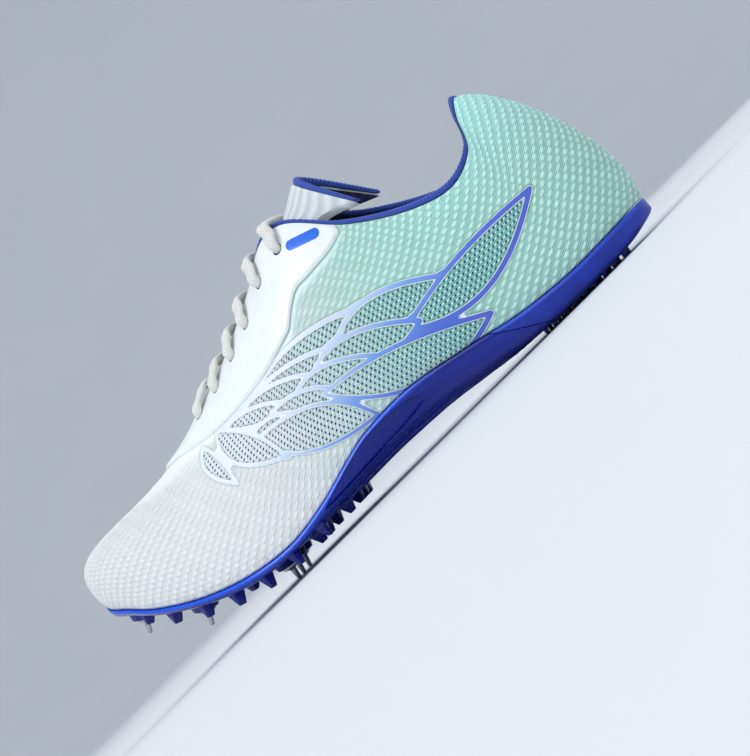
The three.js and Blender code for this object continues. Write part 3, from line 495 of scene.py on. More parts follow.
flat_face = face.reshape(-1, 3)
leaf, frame_in = np.full(len(flat_face), -FAR, float), np.full(len(flat_face), -FAR, float)
nearest_two = np.full((2, len(flat_face)), FAR, float)
for row in zip(*LEAVES.values()):
    front, rear, top, low = np.array(row).reshape(4, 2)
    spots = np.array([front, rear, top, low])
    near = np.all(np.abs(flat_face[:, [0, 2]] - spots.mean(0)) < np.ptp(spots, axis=0) / 2 + 9, axis=1)
    deep = inside_leaf(flat_face[near][:, [0, 2]], front, rear, top, low)
    share = ease(flat_face[near, 0], FRAME["from"], FRAME["to"])
    wide = FRAME["front"] + (FRAME["rear"] - FRAME["front"]) * share
    band = wide / 2 - np.abs(deep)
    leaf[near] = np.where(deep > 0, deep, leaf[near])
    frame_in[near] = np.where(deep > 0, band, np.maximum(frame_in[near], band))
    nearest_two[:, near] = np.sort(np.vstack([nearest_two[:, near], -deep]), axis=0)[:2]
frame_in = np.maximum(frame_in, (FRAME["fill"] - nearest_two.sum(0)) / 2 - FAR * (nearest_two[0] < 0))
leaf, frame_in = leaf.reshape(turns.shape), frame_in.reshape(turns.shape)
print("leaf corners on the mesh:", int((leaf > 0).sum()), "frame corners:", int((frame_in > 0).sum()))

# %% [markdown]
# The knit is smooth where the film covers it and on top of the toes, and a few soft creases lie
# where a foot has bent it. All of that is one relief in mm, added along the face's own direction.

# %% Creases, eyelets and the upper's relief
CREASES = [  # x and z of both ends, width, depth: hollows in the side view, the same on both sides
    (52, 66, 60, 44, 4.5, 0.5), (64, 64, 73, 42, 4, 0.45), (41, 48, 47, 28, 5, 0.35),
    (-78, 60, -58, 44, 7, 0.7), (-98, 55, -116, 34, 6, 0.45)]
EYELETS = (0.388, 0.443, 0.499, 0.547, 0.597, 0.644)
EYELET_HEIGHT = 0.84
EYELET_RADIUS = 2.6
EYESTAY = table("along low", [
    (0.392, 0.93), (0.416, 0.79), (0.448, 0.68), (0.474, 0.63), (0.487, 0.58), (0.5, 0.53), (0.55, 0.545),
    (0.61, 0.58), (0.66, 0.61), (0.72, 0.65), (0.8, 0.71), (0.9, 0.79), (1, 0.83)])
EYESTAY_TOP = 0.995
eyestay_low = smooth_curve(turn_at(EYESTAY["along"]), EYESTAY["low"])


def turn_for_x(x, height):
    """The turn on the outer side where the face at that height has that x."""
    tries = np.linspace(turn_at(0.4), turn_at(0.97), 2000)
    return tries[np.argmin(np.abs(skin(tries, np.full_like(tries, height))[:, 0] - x))]


def to_segment(points, start, end):
    step, away = np.subtract(end, start), points - start
    t = np.clip(away @ step / (step @ step), 0, 1)
    return np.linalg.norm(away - t[..., None] * step, axis=-1)


eyelet_turns = [turn_for_x(x_at(share), EYELET_HEIGHT) for share in EYELETS]
eyelet_spots = [(np.array(at), np.array(EYELET_HEIGHT))
                for turn in eyelet_turns for at in (turn, 2 * np.pi - turn)]
folded = np.minimum(turns, 2 * np.pi - turns)
film_low = np.where(folded >= turn_at(EYESTAY["along"][0]), eyestay_low(np.maximum(folded, 1.3)), 2)
hole = np.min([np.linalg.norm(face - skin(*spot), axis=-1) for spot in eyelet_spots], axis=0)
hidden = ease(heights, film_low - 0.045, film_low - 0.01)
on_top = ease(heights, 0.56, 0.74) * ease(face[..., 0], 20, 45) * (1 - ease(face[..., 0], 92, 112))
smooth = np.clip(hidden + on_top + ease(np.maximum(leaf, frame_in), -0.5, 0), 0, 1)
pads = pad_shape(heelward, up_run, PADS) * (1 - smooth)
fade = ease(up_run, 0.5, 2.5) * ease(below_rim, 0.8, 3) * ease(from_seam, 0.3, 1.6)
relief = PAD_TALL * pads + 0.3 * ease(frame_in, -0.15, 0.25) * (1 - hidden)
for x0, z0, x1, z1, wide, deep in CREASES:
    relief -= deep * (1 - hidden) * np.exp(-(to_segment(face[..., [0, 2]], (x0, z0), (x1, z1)) / wide) ** 2)
relief = relief * fade - 1.1 * ease(hole, EYELET_RADIUS, EYELET_RADIUS - 0.8)
print("relief in mm from", relief.min().round(2), "to", relief.max().round(2))

# %% Upper
lining_turns, lining_heights = np.meshgrid(ring, np.linspace(1, 0, LINING_ROWS + 1), indexing="ij")
outer_wall = face + face_out * relief[..., None]
wall = np.concatenate([outer_wall, off_skin(lining_turns, lining_heights, -WALL), outer_wall[:, :1]], axis=1)


def with_lining(values, inner):
    """Carries a value of the outer face on round the wall, with one number inside."""
    return np.pad(values, ((0, 0), (0, LINING_ROWS + 2)), constant_values=inner)


upper_flat = np.stack([np.pad(one, ((0, 0), (0, LINING_ROWS + 2)), mode="edge") for one in (heelward, up_run)], -1)
upper_flat[:, UPPER_ROWS + 1:-1, 1] += run_along(wall[:, UPPER_ROWS + 1:-1], 1)
upper_values = {"leaf": with_lining(leaf, -FAR), "frame": with_lining(frame_in, -FAR),
                "smooth": with_lining(np.clip(hidden + on_top, 0, 1), 0), "hole": with_lining(hole, FAR)}
upper_mesh = shaped_grid(wall, upper_values, upper_flat, second=UPPER_ROWS)

# %% [markdown]
# The knit's colour fades from white at the toes to mint at the heel. Pads catch the light, so they
# are paler than the ground between them. Fine ribs run with the pads, and the film's print is a
# small half-tone of blue on white. Specks of glue and dust lie along the front of the bite line.

# %% Knit finish
DOTS = {"pitch": 2.15, "row": 1.7, "long": 0.5, "wide": 0.5, "slant": 0.0, "core": 0.55}
GRAIN_HIGHLIGHTS = {"pitch": 2.15, "row": 1.7, "long": 0.95, "wide": 0.36, "slant": math.radians(25), "core": 0.3}

knit = Finish("mint_knit", 0.78, Sheen_Weight=0.18, Sheen_Roughness=0.5)
u, v = knit.pattern()
x, y, z = knit.axes()
pad = knit.pads(u, v, PADS)
smooth_part = knit.attribute("smooth")
rib = knit.wave(knit.minus(knit.times(v, math.cos(PADS["slant"])),
                          knit.times(u, math.sin(PADS["slant"]))), 0.72)
stitch = knit.times(knit.wave(u, 0.55), knit.wave(v, 0.5))
to_front = knit.ease(x, -70, 32)
# The heel is painted paler and more aqua towards its top: a painted highlight, as from a back light.
heel_top_highlight = knit.times(knit.ease(z, 42, 88), knit.ease(x, -60, -95))
cloudy = knit.noise(55)
# ground is the knit under painted shade between the pads, raised is the knit under a painted highlight on them; pads,
# ribs and stitches mix from one to the other.
ground = knit.mix(to_front, knit.mix(heel_top_highlight, tone(124, 194, 175), tone(150, 228, 216)), tone(224, 229, 228))
raised = knit.mix(to_front, knit.mix(heel_top_highlight, tone(214, 250, 240), tone(208, 255, 250)), tone(247, 249, 248))
thread = knit.math("MULTIPLY_ADD", rib, 0.46, knit.times(stitch, 0.2))
body = knit.plus(knit.times(pad, 0.66), knit.plus(thread, knit.times(cloudy, 0.12)))
cloth = knit.mix(knit.ease(body, 0.05, 0.95), ground, raised)
cloth = knit.mix(smooth_part, cloth, knit.mix(to_front, tone(205, 240, 232), tone(244, 247, 247)))

# %% Leaf windows and their printed frames
leaf_in, frame_part = knit.attribute("leaf"), knit.attribute("frame")
is_leaf, is_frame = knit.ease(leaf_in, -0.05, 0.1), knit.ease(frame_part, -0.05, 0.1)
window = knit.times(is_leaf, knit.rest(is_frame))
mesh_ground = knit.mix(to_front, tone(112, 192, 172), tone(232, 241, 239))
# The white slanted dashes on the window mesh are a painted highlight on its grains.
mesh_colour = knit.mix(knit.pads(u, v, GRAIN_HIGHLIGHTS), mesh_ground, tone(240, 250, 246))
dots = knit.pads(knit.plus(u, 1.0), v, DOTS)
mesh_colour = knit.mix(dots, mesh_colour, tone(10, 40, 152))
deeper = knit.plus(knit.times(x, -0.5 / 80),
                   knit.times(knit.minus(58.0, z), 1.2 / 80))
print_colour = knit.ramp(deeper, (0.0, tone(230, 236, 243)), (0.25, tone(190, 210, 238)), (0.5, tone(92, 148, 226)),
                         (0.75, tone(22, 88, 208)), (1.0, tone(12, 66, 198)))
half_tone = knit.times(knit.wave(knit.plus(u, v), 0.62), knit.wave(knit.minus(u, v), 0.62))
print_colour = knit.mix(knit.times(half_tone, 0.36), print_colour, tone(220, 234, 248))
# A thin painted highlight runs along the edge of each frame.
frame_edge_highlight = knit.times(is_frame, knit.ease(frame_part, 0.42, 0.2))
printed = knit.mix(frame_edge_highlight, print_colour, tone(238, 243, 246))
# A painted shadow line lies just outside each frame. It is darker green at the rear and grey at the front.
shade = knit.times(knit.ease(frame_part, -0.8, -0.1), knit.rest(is_frame))
cloth = knit.mix(window, cloth, mesh_colour)
cloth = knit.mix(knit.times(shade, 0.55), cloth, knit.mix(to_front, tone(70, 140, 112), tone(178, 196, 188)))
cloth = knit.mix(is_frame, cloth, printed)

# %% Dust, painted shade in the eyelet holes, and the knit's relief
specks = knit.times(knit.ease(knit.noise(900, 2), 0.56, 0.66), knit.ease(v, 3.4, 0.4))
specks = knit.times(specks, knit.times(knit.ease(x, 2, 20), knit.ease(knit.noise(90), 0.42, 0.6)))
cloth = knit.mix(knit.times(specks, 0.6), cloth, tone(150, 128, 84))
low_dust = knit.times(knit.ease(v, 7, 0), knit.ease(knit.noise(140), 0.3, 0.8))
cloth = knit.mix(knit.times(low_dust, 0.3), cloth, tone(150, 158, 150))
# The knit seen inside each eyelet hole is painted dark, as painted shade.
knit.colour(knit.mix(knit.ease(knit.attribute("hole"), 2.6, 2.2), cloth, tone(60, 66, 84)))
knit.roughness(knit.ease(knit.math("MAXIMUM", is_frame, smooth_part), 0, 1, 0.82, 0.5))
knitted = knit.rest(knit.math("MAXIMUM", is_frame, smooth_part))
knit.bump(knit.times(pad, knitted), 0.24)
knit.bump(knit.times(thread, knitted), 0.26)
knit.bump(knit.rest(knit.times(dots, window)), 0.3)
knit.bump(knit.noise(2600, 2), 0.03)

lining = Finish("navy_lining", 0.9, Sheen_Weight=0.3)
u, v = lining.pattern()
loops = lining.times(lining.wave(u, 1.1), lining.wave(v, 1.3))
lining.colour(lining.mix(loops, tone(9, 13, 48), tone(30, 42, 108)))
lining.bump(loops, 0.25)
lining.bump(lining.noise(1800, 2), 0.05)
finish_piece("upper_knit", upper_mesh, [knit, lining], ["upper"])

# %% [markdown]
# ## The sole
# The sole is a thin moulded shell. A section across it runs along the underside from rim to rim and
# back over the bed, and the sections follow each other from heel to toe. Each section is laid out
# in steps of its own length, closer together at the rims, where a small bead runs round.

# %% Sole sections
SOLE_STEPS, UNDER_STEPS, BED_STEPS = 300, 236, 14
SOLE_END = 0.035
LIP, RIM_IN = 1.3, 0.6  # how far the rim stands out of the upper, and its wall inside
RIB_HEIGHT = 1.1
RIBS = {"count": 4, "from": 0.21, "to": 0.64, "reach_back": 0.3, "reach_front": 0.55, "fade_back": 8, "fade_front": 5}
LENS = {"middle": 0.47, "half": 0.1, "level": 0.62, "deep": 1.5, "tall": 0.3}
LIP_BEAD = {"tall": 2.2, "out": 0.45}


def sole_edges(turn):
    outer, inner = bite_point(turn), bite_point(2 * np.pi - turn)
    ahead = np.minimum(np.abs(outer[..., 1] - inner[..., 1]) / (2 * LIP), 1)
    outer[..., 1] += LIP * ahead
    inner[..., 1] -= LIP * ahead
    outer[..., 2] -= GAP
    inner[..., 2] -= GAP
    return outer, inner


def rib_height(share, side):
    run = (share - RIBS["from"]) / (RIBS["to"] - RIBS["from"])
    reach = RIBS["reach_back"] + (RIBS["reach_front"] - RIBS["reach_back"]) * run
    fade = np.clip(np.minimum(run * RIBS["fade_back"], (1 - run) * RIBS["fade_front"]), 0, 1)
    wave = np.maximum(0, np.cos(side / reach * np.pi * RIBS["count"])) ** 2
    return np.where(np.abs(side) <= reach, wave, 0) * RIB_HEIGHT * fade


def lens_depth(share, level):
    x = (share - LENS["middle"]) / LENS["half"]
    z = (level - LENS["level"]) / LENS["tall"]
    return LENS["deep"] * ease(1 - x * x - z * z, 0, 0.14)


def under_point(turn, angle):
    """A point of the sole's underside: angle runs from the outer rim to the inner rim."""
    outer, inner = sole_edges(turn)
    middle, half = (outer[..., 1] + inner[..., 1]) / 2, (outer[..., 1] - inner[..., 1]) / 2
    base, power = sole_under(turn) * TALL, sole_square(turn)
    share = (1 - np.cos(turn)) / 2
    side = np.sign(angle) * np.abs(np.sin(angle)) ** power
    edge = np.where(angle > 0, outer[..., 2], inner[..., 2])
    rise = 1 - np.abs(np.cos(angle)) ** power
    z = base + (edge - base) * rise - rib_height(share, side)
    return np.stack([outer[..., 0] + 0 * side, middle + (half - lens_depth(share, rise)) * side, z], -1)


def bed_point(turn, side):
    """A point of the sole's upper face, inside the upper's wall."""
    outer, inner = sole_edges(turn)
    middle, half = (outer[..., 1] + inner[..., 1]) / 2, (outer[..., 1] - inner[..., 1]) / 2
    reach = half - np.minimum(LIP + WALL + RIM_IN, half * 0.6)
    edge = np.where(side > 0, outer[..., 2], inner[..., 2])
    bed = np.minimum((sole_under(turn) + sole_thick(turn)) * TALL, edge)
    z = bed + (edge - bed) * np.abs(side) ** 5
    return np.stack([outer[..., 0] + 0 * side, middle + reach * side, z], -1)


def under_line(turn):
    """One section of the underside, in steps that are closer at the rims, and the length to a rim."""
    share, power = np.linspace(0, 1, 400), sole_square(turn)
    quarter = np.unique(np.r_[np.arcsin(share ** (1 / power)), np.arccos((1 - share) ** (1 / power))])
    line = under_point(turn, np.r_[quarter[::-1], -quarter[1:]])
    run = run_along(line, 0)
    step = np.linspace(0, 1, UNDER_STEPS + 1)
    spots = run[-1] * (step - 0.7 * np.sin(2 * np.pi * step) / (2 * np.pi))
    points = np.stack([np.interp(spots, run, line[:, i]) for i in range(3)], -1)
    to_rim = np.minimum(spots, run[-1] - spots)
    swell = np.sin(np.pi * np.clip(to_rim / LIP_BEAD["tall"], 0, 1)) ** 2 * LIP_BEAD["out"]
    points[:, 1] += swell * np.sign(0.5 - step)
    return points, to_rim


sole_turns = np.linspace(SOLE_END, np.pi - SOLE_END, SOLE_STEPS + 1)
under_lines = [under_line(turn) for turn in sole_turns]
under = np.array([line for line, to_rim in under_lines])
bed = bed_point(sole_turns[:, None], np.linspace(-1, 1, BED_STEPS + 1)[None])
rim = np.pad([to_rim for line, to_rim in under_lines], ((0, 0), (0, BED_STEPS + 2)))
sole_mesh = shaped_grid(np.concatenate([under, bed, under[:, :1]], axis=1), {"rim": rim})

# %% [markdown]
# The plate and the foam heel meet on a slanted face, and the rear end of the plate runs on under
# the foam as an oval shank. A boolean with that room cuts one from the other, as a mould line does,
# and the foam's cut is a little wider, which leaves a fine groove round the shank.

# %% Plate and heel from one sole
SHANK = table("along half", [(0.193, 0.272), (0.171, 0.207), (0.141, 0.19), (0.104, 0.179), (0.074, 0.141),
                             (0.0575, 0.087), (0.052, 0.033)])
SHANK_TOP = 4.4
WEDGE = {"tip": 0.26, "tip_up": 0.17, "foot": 0.1855, "foot_up": 0.035}
GROOVE = 0.35


def prism(outline, axis, low, high):
    """A closed prism: a flat outline in mm, extruded along an axis."""
    bm = bmesh.new()
    order = {"z": lambda a, b: (a, b, low), "y": lambda a, b: (a, low, b)}[axis]
    face = bm.faces.new([bm.verts.new((np.array(order(*p)) + SHIFT) * MM) for p in outline])
    grown = bmesh.ops.extrude_face_region(bm, geom=[face])["geom"]
    move = Vector((0, 0, (high - low) * MM)) if axis == "z" else Vector((0, (high - low) * MM, 0))
    bmesh.ops.translate(bm, verts=[g for g in grown if isinstance(g, bmesh.types.BMVert)], vec=move)
    bmesh.ops.recalc_face_normals(bm, faces=bm.faces)
    return write_mesh(bm, "prism")


def carve(mesh, *cuts, crease_angle=180):
    """Runs booleans on a mesh: each cut is (operation, cutter mesh)."""
    work = add_object("work", mesh)
    cutters = []
    for operation, cutter in cuts:
        cutters.append(add_object("cutter", cutter))
        step = work.modifiers.new(operation, "BOOLEAN")
        step.operation, step.object, step.solver = operation, cutters[-1], "EXACT"
    carved = bpy.data.meshes.new_from_object(work.evaluated_get(bpy.context.evaluated_depsgraph_get()))
    for used in [work, *cutters]:
        bpy.data.objects.remove(used)
    bm = bmesh.new()
    bm.from_mesh(carved)
    soften(bm, crease_angle)
    return write_mesh(bm, carved)


def wedge_room(margin):
    rise = (WEDGE["tip_up"] - WEDGE["foot_up"]) * TALL
    slope = (x_at(WEDGE["tip"]) - x_at(WEDGE["foot"])) / rise

    def face_x(z):
        return x_at(WEDGE["foot"]) + (z - WEDGE["foot_up"] * TALL) * slope - margin * math.hypot(1, slope)
    return prism([(face_x(-10), -10), (200, -10), (200, 100), (face_x(100), 100)], "y", -60, 60)


def shank_room(margin):
    half = [(x_at(along) - margin, wide * BALL + margin) for along, wide in zip(*SHANK.values())]
    return prism(half + [(x, -y) for x, y in half[::-1]], "z", -10, SHANK_TOP + margin)


plate_room = carve(wedge_room(0), ("UNION", shank_room(0)))
heel_room = carve(wedge_room(GROOVE), ("UNION", shank_room(GROOVE)))
plate_mesh = carve(sole_mesh, ("INTERSECT", plate_room), crease_angle=40)
heel_mesh = carve(sole_mesh, ("DIFFERENCE", heel_room), crease_angle=40)
print("rim attribute kept:", "rim" in plate_mesh.attributes, "rim" in heel_mesh.attributes)

# %% [markdown]
# The plate is a hard glossy plastic. Its lip catches the light as a brighter line, and use has left
# a haze of fine scuffs in its gloss. The heel is a satin foam skin with a faint orange peel.

# %% Plate and foam finishes
plate_finish = Finish("royal_plate", 0.22, Coat_Weight=0.1, Coat_Roughness=0.1, Specular_IOR_Level=0.36)
x, y, z = plate_finish.axes()
cloud = plate_finish.noise(40)
blue = plate_finish.mix(cloud, tone(5, 16, 104), tone(8, 28, 138))
blue = plate_finish.mix(plate_finish.ease(z, 26, 8), blue, tone(10, 34, 150))
# A painted highlight runs along the plate's lip, from the midfoot forwards.
lip_highlight = plate_finish.times(plate_finish.ease(plate_finish.attribute("rim"), 2.6, 0.6), plate_finish.ease(x, -52, -20))
blue = plate_finish.mix(plate_finish.times(lip_highlight, 0.9), blue, tone(20, 92, 236))
scuffs = plate_finish.noise(420, 6, rough=0.7)
plate_finish.colour(plate_finish.mix(plate_finish.ease(scuffs, 0.62, 0.8, 0, 0.12), blue, tone(70, 96, 180)))
plate_finish.roughness(plate_finish.ease(scuffs, 0.35, 0.75, 0.18, 0.34))
plate_finish.bump(plate_finish.noise(260, 2), 0.025)
finish_piece("plate_moulding", plate_mesh, [plate_finish], ["spike_plate"])

foam_finish = Finish("blue_foam", 0.45, Coat_Weight=0.1, Coat_Roughness=0.3, Specular_IOR_Level=0.4)
x, y, z = foam_finish.axes()
mottle = foam_finish.noise(120, 4)
blue = foam_finish.mix(foam_finish.ease(mottle, 0.3, 0.7), tone(12, 38, 150), tone(18, 52, 176))
# A fainter painted highlight runs along the foam's lip.
lip_highlight = foam_finish.ease(foam_finish.attribute("rim"), 2.4, 0.5)
blue = foam_finish.mix(foam_finish.times(lip_highlight, 0.5), blue, tone(44, 92, 222))
dust = foam_finish.times(foam_finish.ease(z, 5, 0.5), foam_finish.ease(foam_finish.noise(300, 5), 0.45, 0.75))
foam_finish.colour(foam_finish.mix(foam_finish.times(dust, 0.35), blue, tone(120, 132, 168)))
foam_finish.roughness(foam_finish.ease(mottle, 0.2, 0.8, 0.38, 0.54))
foam_finish.bump(foam_finish.noise(1500, 2), 0.05)
foam_finish.bump(foam_finish.noise(160, 2), 0.12)
finish_piece("heel_foam", heel_mesh, [foam_finish], ["heel_midsole"])

# %% [markdown]
# The insole is a thin sheet on the bed. Its upper side is woven cloth, so it takes a small weave.

# %% Insole
INSOLE = 2.8
across = np.linspace(-0.92, 0.92, 25)
insole_turns = np.linspace(0.43, np.pi - 0.43, 121)
sheet = bed_point(insole_turns[:, None], across[None])
insole_points = np.concatenate(
    [sheet + [0, 0, GAP], sheet[:, ::-1] + [0, 0, INSOLE], sheet[:, :1] + [0, 0, GAP]], axis=1)
insole_finish = Finish("insole_cloth", 0.92, Sheen_Weight=0.2)
x, y, z = insole_finish.axes()
weave = insole_finish.times(insole_finish.wave(x, 1.4), insole_finish.wave(y, 1.4))
insole_finish.colour(insole_finish.mix(weave, tone(16, 22, 66), tone(36, 50, 120)))
insole_finish.bump(weave, 0.2)
insole_finish.bump(insole_finish.noise(1200, 3), 0.06)
insole_mesh = shaped_grid(insole_points, crease_angle=50)
finish_piece("insole_cloth", insole_mesh, [insole_finish], ["insole"])

# %% [markdown]
# ## The tongue
# A curved knitted flap, from under the vamp to a free top edge that stands above the collar. Its
# face has lengthwise ribs, and its back is lined in the lining's navy.

# %% Tongue
TONGUE_WALL = 3
TONGUE = table("along up half sag back thick", [
    (0.709, 0.646, 0.152, 0.036, 0, 0.67), (0.646, 0.698, 0.174, 0.05, 0, 0.67), (0.579, 0.749, 0.174, 0.058, 0, 0.8),
    (0.512, 0.814, 0.174, 0.07, 0.004, 0.93), (0.453, 0.89, 0.168, 0.08, 0.007, 1), (0.401, 0.966, 0.147, 0.09, 0.015, 1),
    (0.36, 1.026, 0.13, 0.125, 0.037, 1), (0.327, 1.075, 0.174, 0.23, 0.059, 0.87)])
TONGUE_MIDDLE, TONGUE_LEAN, TONGUE_TAPER = -0.011, 0.35, 0.5
tongue_lines = {key: smooth_curve(np.linspace(0, 1, 8), column) for key, column in TONGUE.items()}


def tongue_point(share, side, depth):
    read = {key: line(share) for key, line in tongue_lines.items()}
    shift = depth * read["thick"] * TONGUE_WALL
    return np.stack([
        x_at(read["along"] - read["back"] * side**2) - shift * TONGUE_LEAN,
        TONGUE_MIDDLE * BALL + (read["half"] * BALL - shift * TONGUE_TAPER) * side,
        (read["up"] - read["sag"] * side**2) * TALL - shift], -1)


share, side = np.meshgrid(np.linspace(0, 1, 181), np.linspace(-1, 1, 61), indexing="ij")
front = tongue_point(share, side, 0 * share)
front_flat = np.stack([side * tongue_lines["half"](share) * BALL, run_along(front, 0)], -1)
rows = np.abs(np.sin(front_flat[..., 1] * np.pi / 1.8))
ribs = np.abs(np.sin(front_flat[..., 0] * np.pi / 2.1)) * (1 - 0.35 * rows)
inward = unit(tongue_point(share, side, share * 0 + 1) - front)
fade = ease(1 - np.abs(side), 0, 0.12) * ease(share, 0, 0.05) * ease(1 - share, 0, 0.02)
front = front - inward * (0.3 * ribs * fade)[..., None]
back = tongue_point(share, side, share * 0 + 1)[:, ::-1]
tongue_points = np.concatenate([front, back, front[:, :1]], axis=1)
tongue_flat = np.concatenate([front_flat, front_flat[:, ::-1], front_flat[:, :1]], axis=1)

rib_knit = Finish("white_rib_knit", 0.8, Sheen_Weight=0.15)
u, v = rib_knit.pattern()
ridge = rib_knit.wave(rib_knit.plus(u, 0.52), 2.1)
rows = rib_knit.wave(v, 0.9)
shade = rib_knit.math("MULTIPLY_ADD", ridge, 0.6, rib_knit.times(rows, 0.3))
rib_knit.colour(rib_knit.mix(shade, tone(196, 206, 210), tone(246, 248, 248)))
rib_knit.bump(rows, 0.12)
rib_knit.bump(rib_knit.noise(2200, 2), 0.05)
tongue_mesh = shaped_grid(tongue_points, flat=tongue_flat, second=61, crease_angle=50)
finish_piece("tongue_knit", tongue_mesh, [rib_knit, lining], ["tongue"])

# %% [markdown]
# ## Bindings
# A knitted cord is sewn over the collar's edge and over the tongue's top edge. Each is a round bead
# that follows its edge, and its stitches are a soft relief that winds round it.

# %% Bindings
EDGE, BEAD, BEAD_AROUND, STITCH = 0.03, 1.35, 18, 1.5


def cord_points(point, out, normal, run, radius):
    """A stitched bead that sits on an edge: a ring of points for each point of the edge."""
    around = np.linspace(0, 2 * np.pi, BEAD_AROUND + 1)
    stitches = 0.4 * np.abs(np.sin(run[:, None] * np.pi / STITCH + around)) - 0.3
    rings = radius[:, None] + stitches
    centre = (point + out * (GAP + radius)[:, None])[:, None]
    points = (centre + normal[:, None] * (rings * np.cos(around))[..., None]
              + out[:, None] * (rings * np.sin(around))[..., None])
    flat = np.stack(np.broadcast_arrays(run[:, None], around * BEAD), -1)
    return points, flat


cord = Finish("blue_cord", 0.85, Sheen_Weight=0.3)
u, v = cord.pattern()
x, y, z = cord.axes()
twist = cord.wave(cord.plus(u, cord.times(v, STITCH / math.pi / BEAD)), STITCH / 2)
dyed = cord.mix(twist, tone(14, 32, 116), tone(60, 104, 226))
undyed = cord.mix(twist, tone(196, 204, 208), tone(246, 248, 248))
cord.colour(cord.mix(cord.ease(x, -20, -12), dyed, undyed))
cord.bump(twist, 0.2)
cord.bump(cord.noise(2400, 2), 0.06)

edge_turns = np.linspace(0, 2 * np.pi, 1101)
edge = off_skin(edge_turns, 1.0, -WALL / 2)
edge_out = unit(skin(edge_turns, np.ones(1101)) - skin(edge_turns, np.full(1101, 1 - EDGE)))
edge_run = run_along(edge, 0)
edge_run *= round(edge_run[-1] / STITCH) * STITCH / edge_run[-1]
thick = BEAD * (1 + 0.1 * ease(rim_up(edge_turns), 0.8, 0.98) * (edge[:, 0] < -90))
points, flat = cord_points(edge, edge_out, skin_normal(edge_turns, np.ones(1101)), edge_run, thick)
finish_piece("collar_cord", shaped_grid(points, flat=flat), [cord], ["collar_binding"])

sides = np.linspace(0.97, -0.97, 201)
ones = np.ones(201)
face_edge, back_edge = tongue_point(ones, sides, 0 * ones), tongue_point(ones, sides, ones)
out = unit(face_edge - tongue_point((1 - EDGE) * ones, sides, 0 * ones))
points, flat = cord_points((face_edge + back_edge) / 2, out, unit(face_edge - back_edge),
                           run_along(face_edge, 0), BEAD * ones)
finish_piece("tongue_cord", shaped_grid(points, flat=flat), [cord], ["tongue_binding"])

# %% [markdown]
# ## The eyestay
# A smooth film is fused round the throat to hold the laces. It is cut with a curved rear edge, and
# six eyelets are punched down each side. A plain rounded bar is printed behind the top eyelet.

# %% Eyestay
FILM_COLUMNS, FILM_ROWS = 420, 40
FILM, FILM_GAP = 0.8, 0.5  # its thickness, and how far it stands off the knit
BAR = {"x0": -34.5, "z0": 89.0, "x1": -44.0, "z1": 85.5, "round": 1.9}
first = turn_at(EYESTAY["along"][0])
film_turns = np.linspace(first, 2 * np.pi - first, FILM_COLUMNS + 1)
low = eyestay_low(np.minimum(film_turns, 2 * np.pi - film_turns))
step = np.linspace(0, 1, FILM_ROWS + 1)
film_heights = low[:, None] + (EYESTAY_TOP - low)[:, None] * step
wide_turns = np.broadcast_to(film_turns[:, None], film_heights.shape)
skin_face = skin(wide_turns, film_heights)
to_low = run_along(skin_face, 1)
to_end = np.minimum(run_along(skin_face, 0), run_along(skin_face[::-1], 0)[::-1])
to_edge = np.minimum(np.minimum(to_low, to_low[:, -1:] - to_low), to_end)
lift = 0.1 + FILM * 0.25 + (FILM * 0.75 + FILM_GAP) * ease(to_edge, 0, 1.6)
bar = to_segment(skin_face[..., [0, 2]], (BAR["x0"], BAR["z0"]), (BAR["x1"], BAR["z1"])) - BAR["round"]
lift += 0.22 * ease(bar, 0.25, -0.15)
film_face = off_skin(wide_turns, film_heights, lift)
film_back = off_skin(wide_turns, film_heights, 0.1)[:, ::-1]
film_points = np.concatenate([film_face, film_back, film_face[:, :1]], axis=1)
pad_back = ((0, 0), (0, FILM_ROWS + 2))
film_values = {"edge": np.pad(np.minimum(to_low, to_end), pad_back),
               "bar": np.pad(bar, pad_back, constant_values=9)}


def round_cutter(point, normal, radius, length):
    bm = bmesh.new()
    bmesh.ops.create_cone(bm, cap_ends=True, segments=28, radius1=radius * MM, radius2=radius * MM, depth=length * MM)
    way = Vector((0, 0, 1)).rotation_difference(Vector(normal)).to_matrix().to_4x4()
    bmesh.ops.transform(bm, matrix=Matrix.Translation((point + SHIFT) * MM) @ way, verts=bm.verts)
    return write_mesh(bm, "punch")


punches = [("DIFFERENCE", round_cutter(skin(*spot), skin_normal(*spot), EYELET_RADIUS - 0.3, 6))
           for spot in eyelet_spots]
film_mesh = carve(shaped_grid(film_points, film_values), *punches, crease_angle=50)

film_finish = Finish("white_film", 0.36, Coat_Weight=0.15, Coat_Roughness=0.25)
x, y, z = film_finish.axes()
grey = film_finish.noise(70, 4)
white = film_finish.mix(grey, tone(234, 240, 241), tone(247, 250, 250))
# A thin painted shadow, green from the knit below, lies along the film's edges behind the throat.
edge_shadow = film_finish.times(film_finish.ease(film_finish.attribute("edge"), 0.75, 0.1), film_finish.ease(x, 2, -12))
white = film_finish.mix(film_finish.times(edge_shadow, 0.7), white, tone(116, 178, 150))
bar_part = film_finish.ease(film_finish.attribute("bar"), 0.08, -0.08)
film_finish.colour(film_finish.mix(bar_part, white, tone(4, 104, 226)))
film_finish.roughness(film_finish.ease(grey, 0.3, 0.8, 0.32, 0.44))
film_finish.bump(film_finish.noise(2600, 2), 0.03)
film_finish.bump(film_finish.noise(240, 2), 0.05)
finish_piece("eyestay_film", film_mesh, [film_finish], ["eyestay"])

# %% [markdown]
# ## Laces
# Six short bars of flat woven lace cross the throat. Each comes up through an eyelet, folds over the
# edge of the film and goes down through the eyelet on the other side. A sweep along that line gives
# the lace; a soft groove down its middle makes the two round lobes that show where it folds.

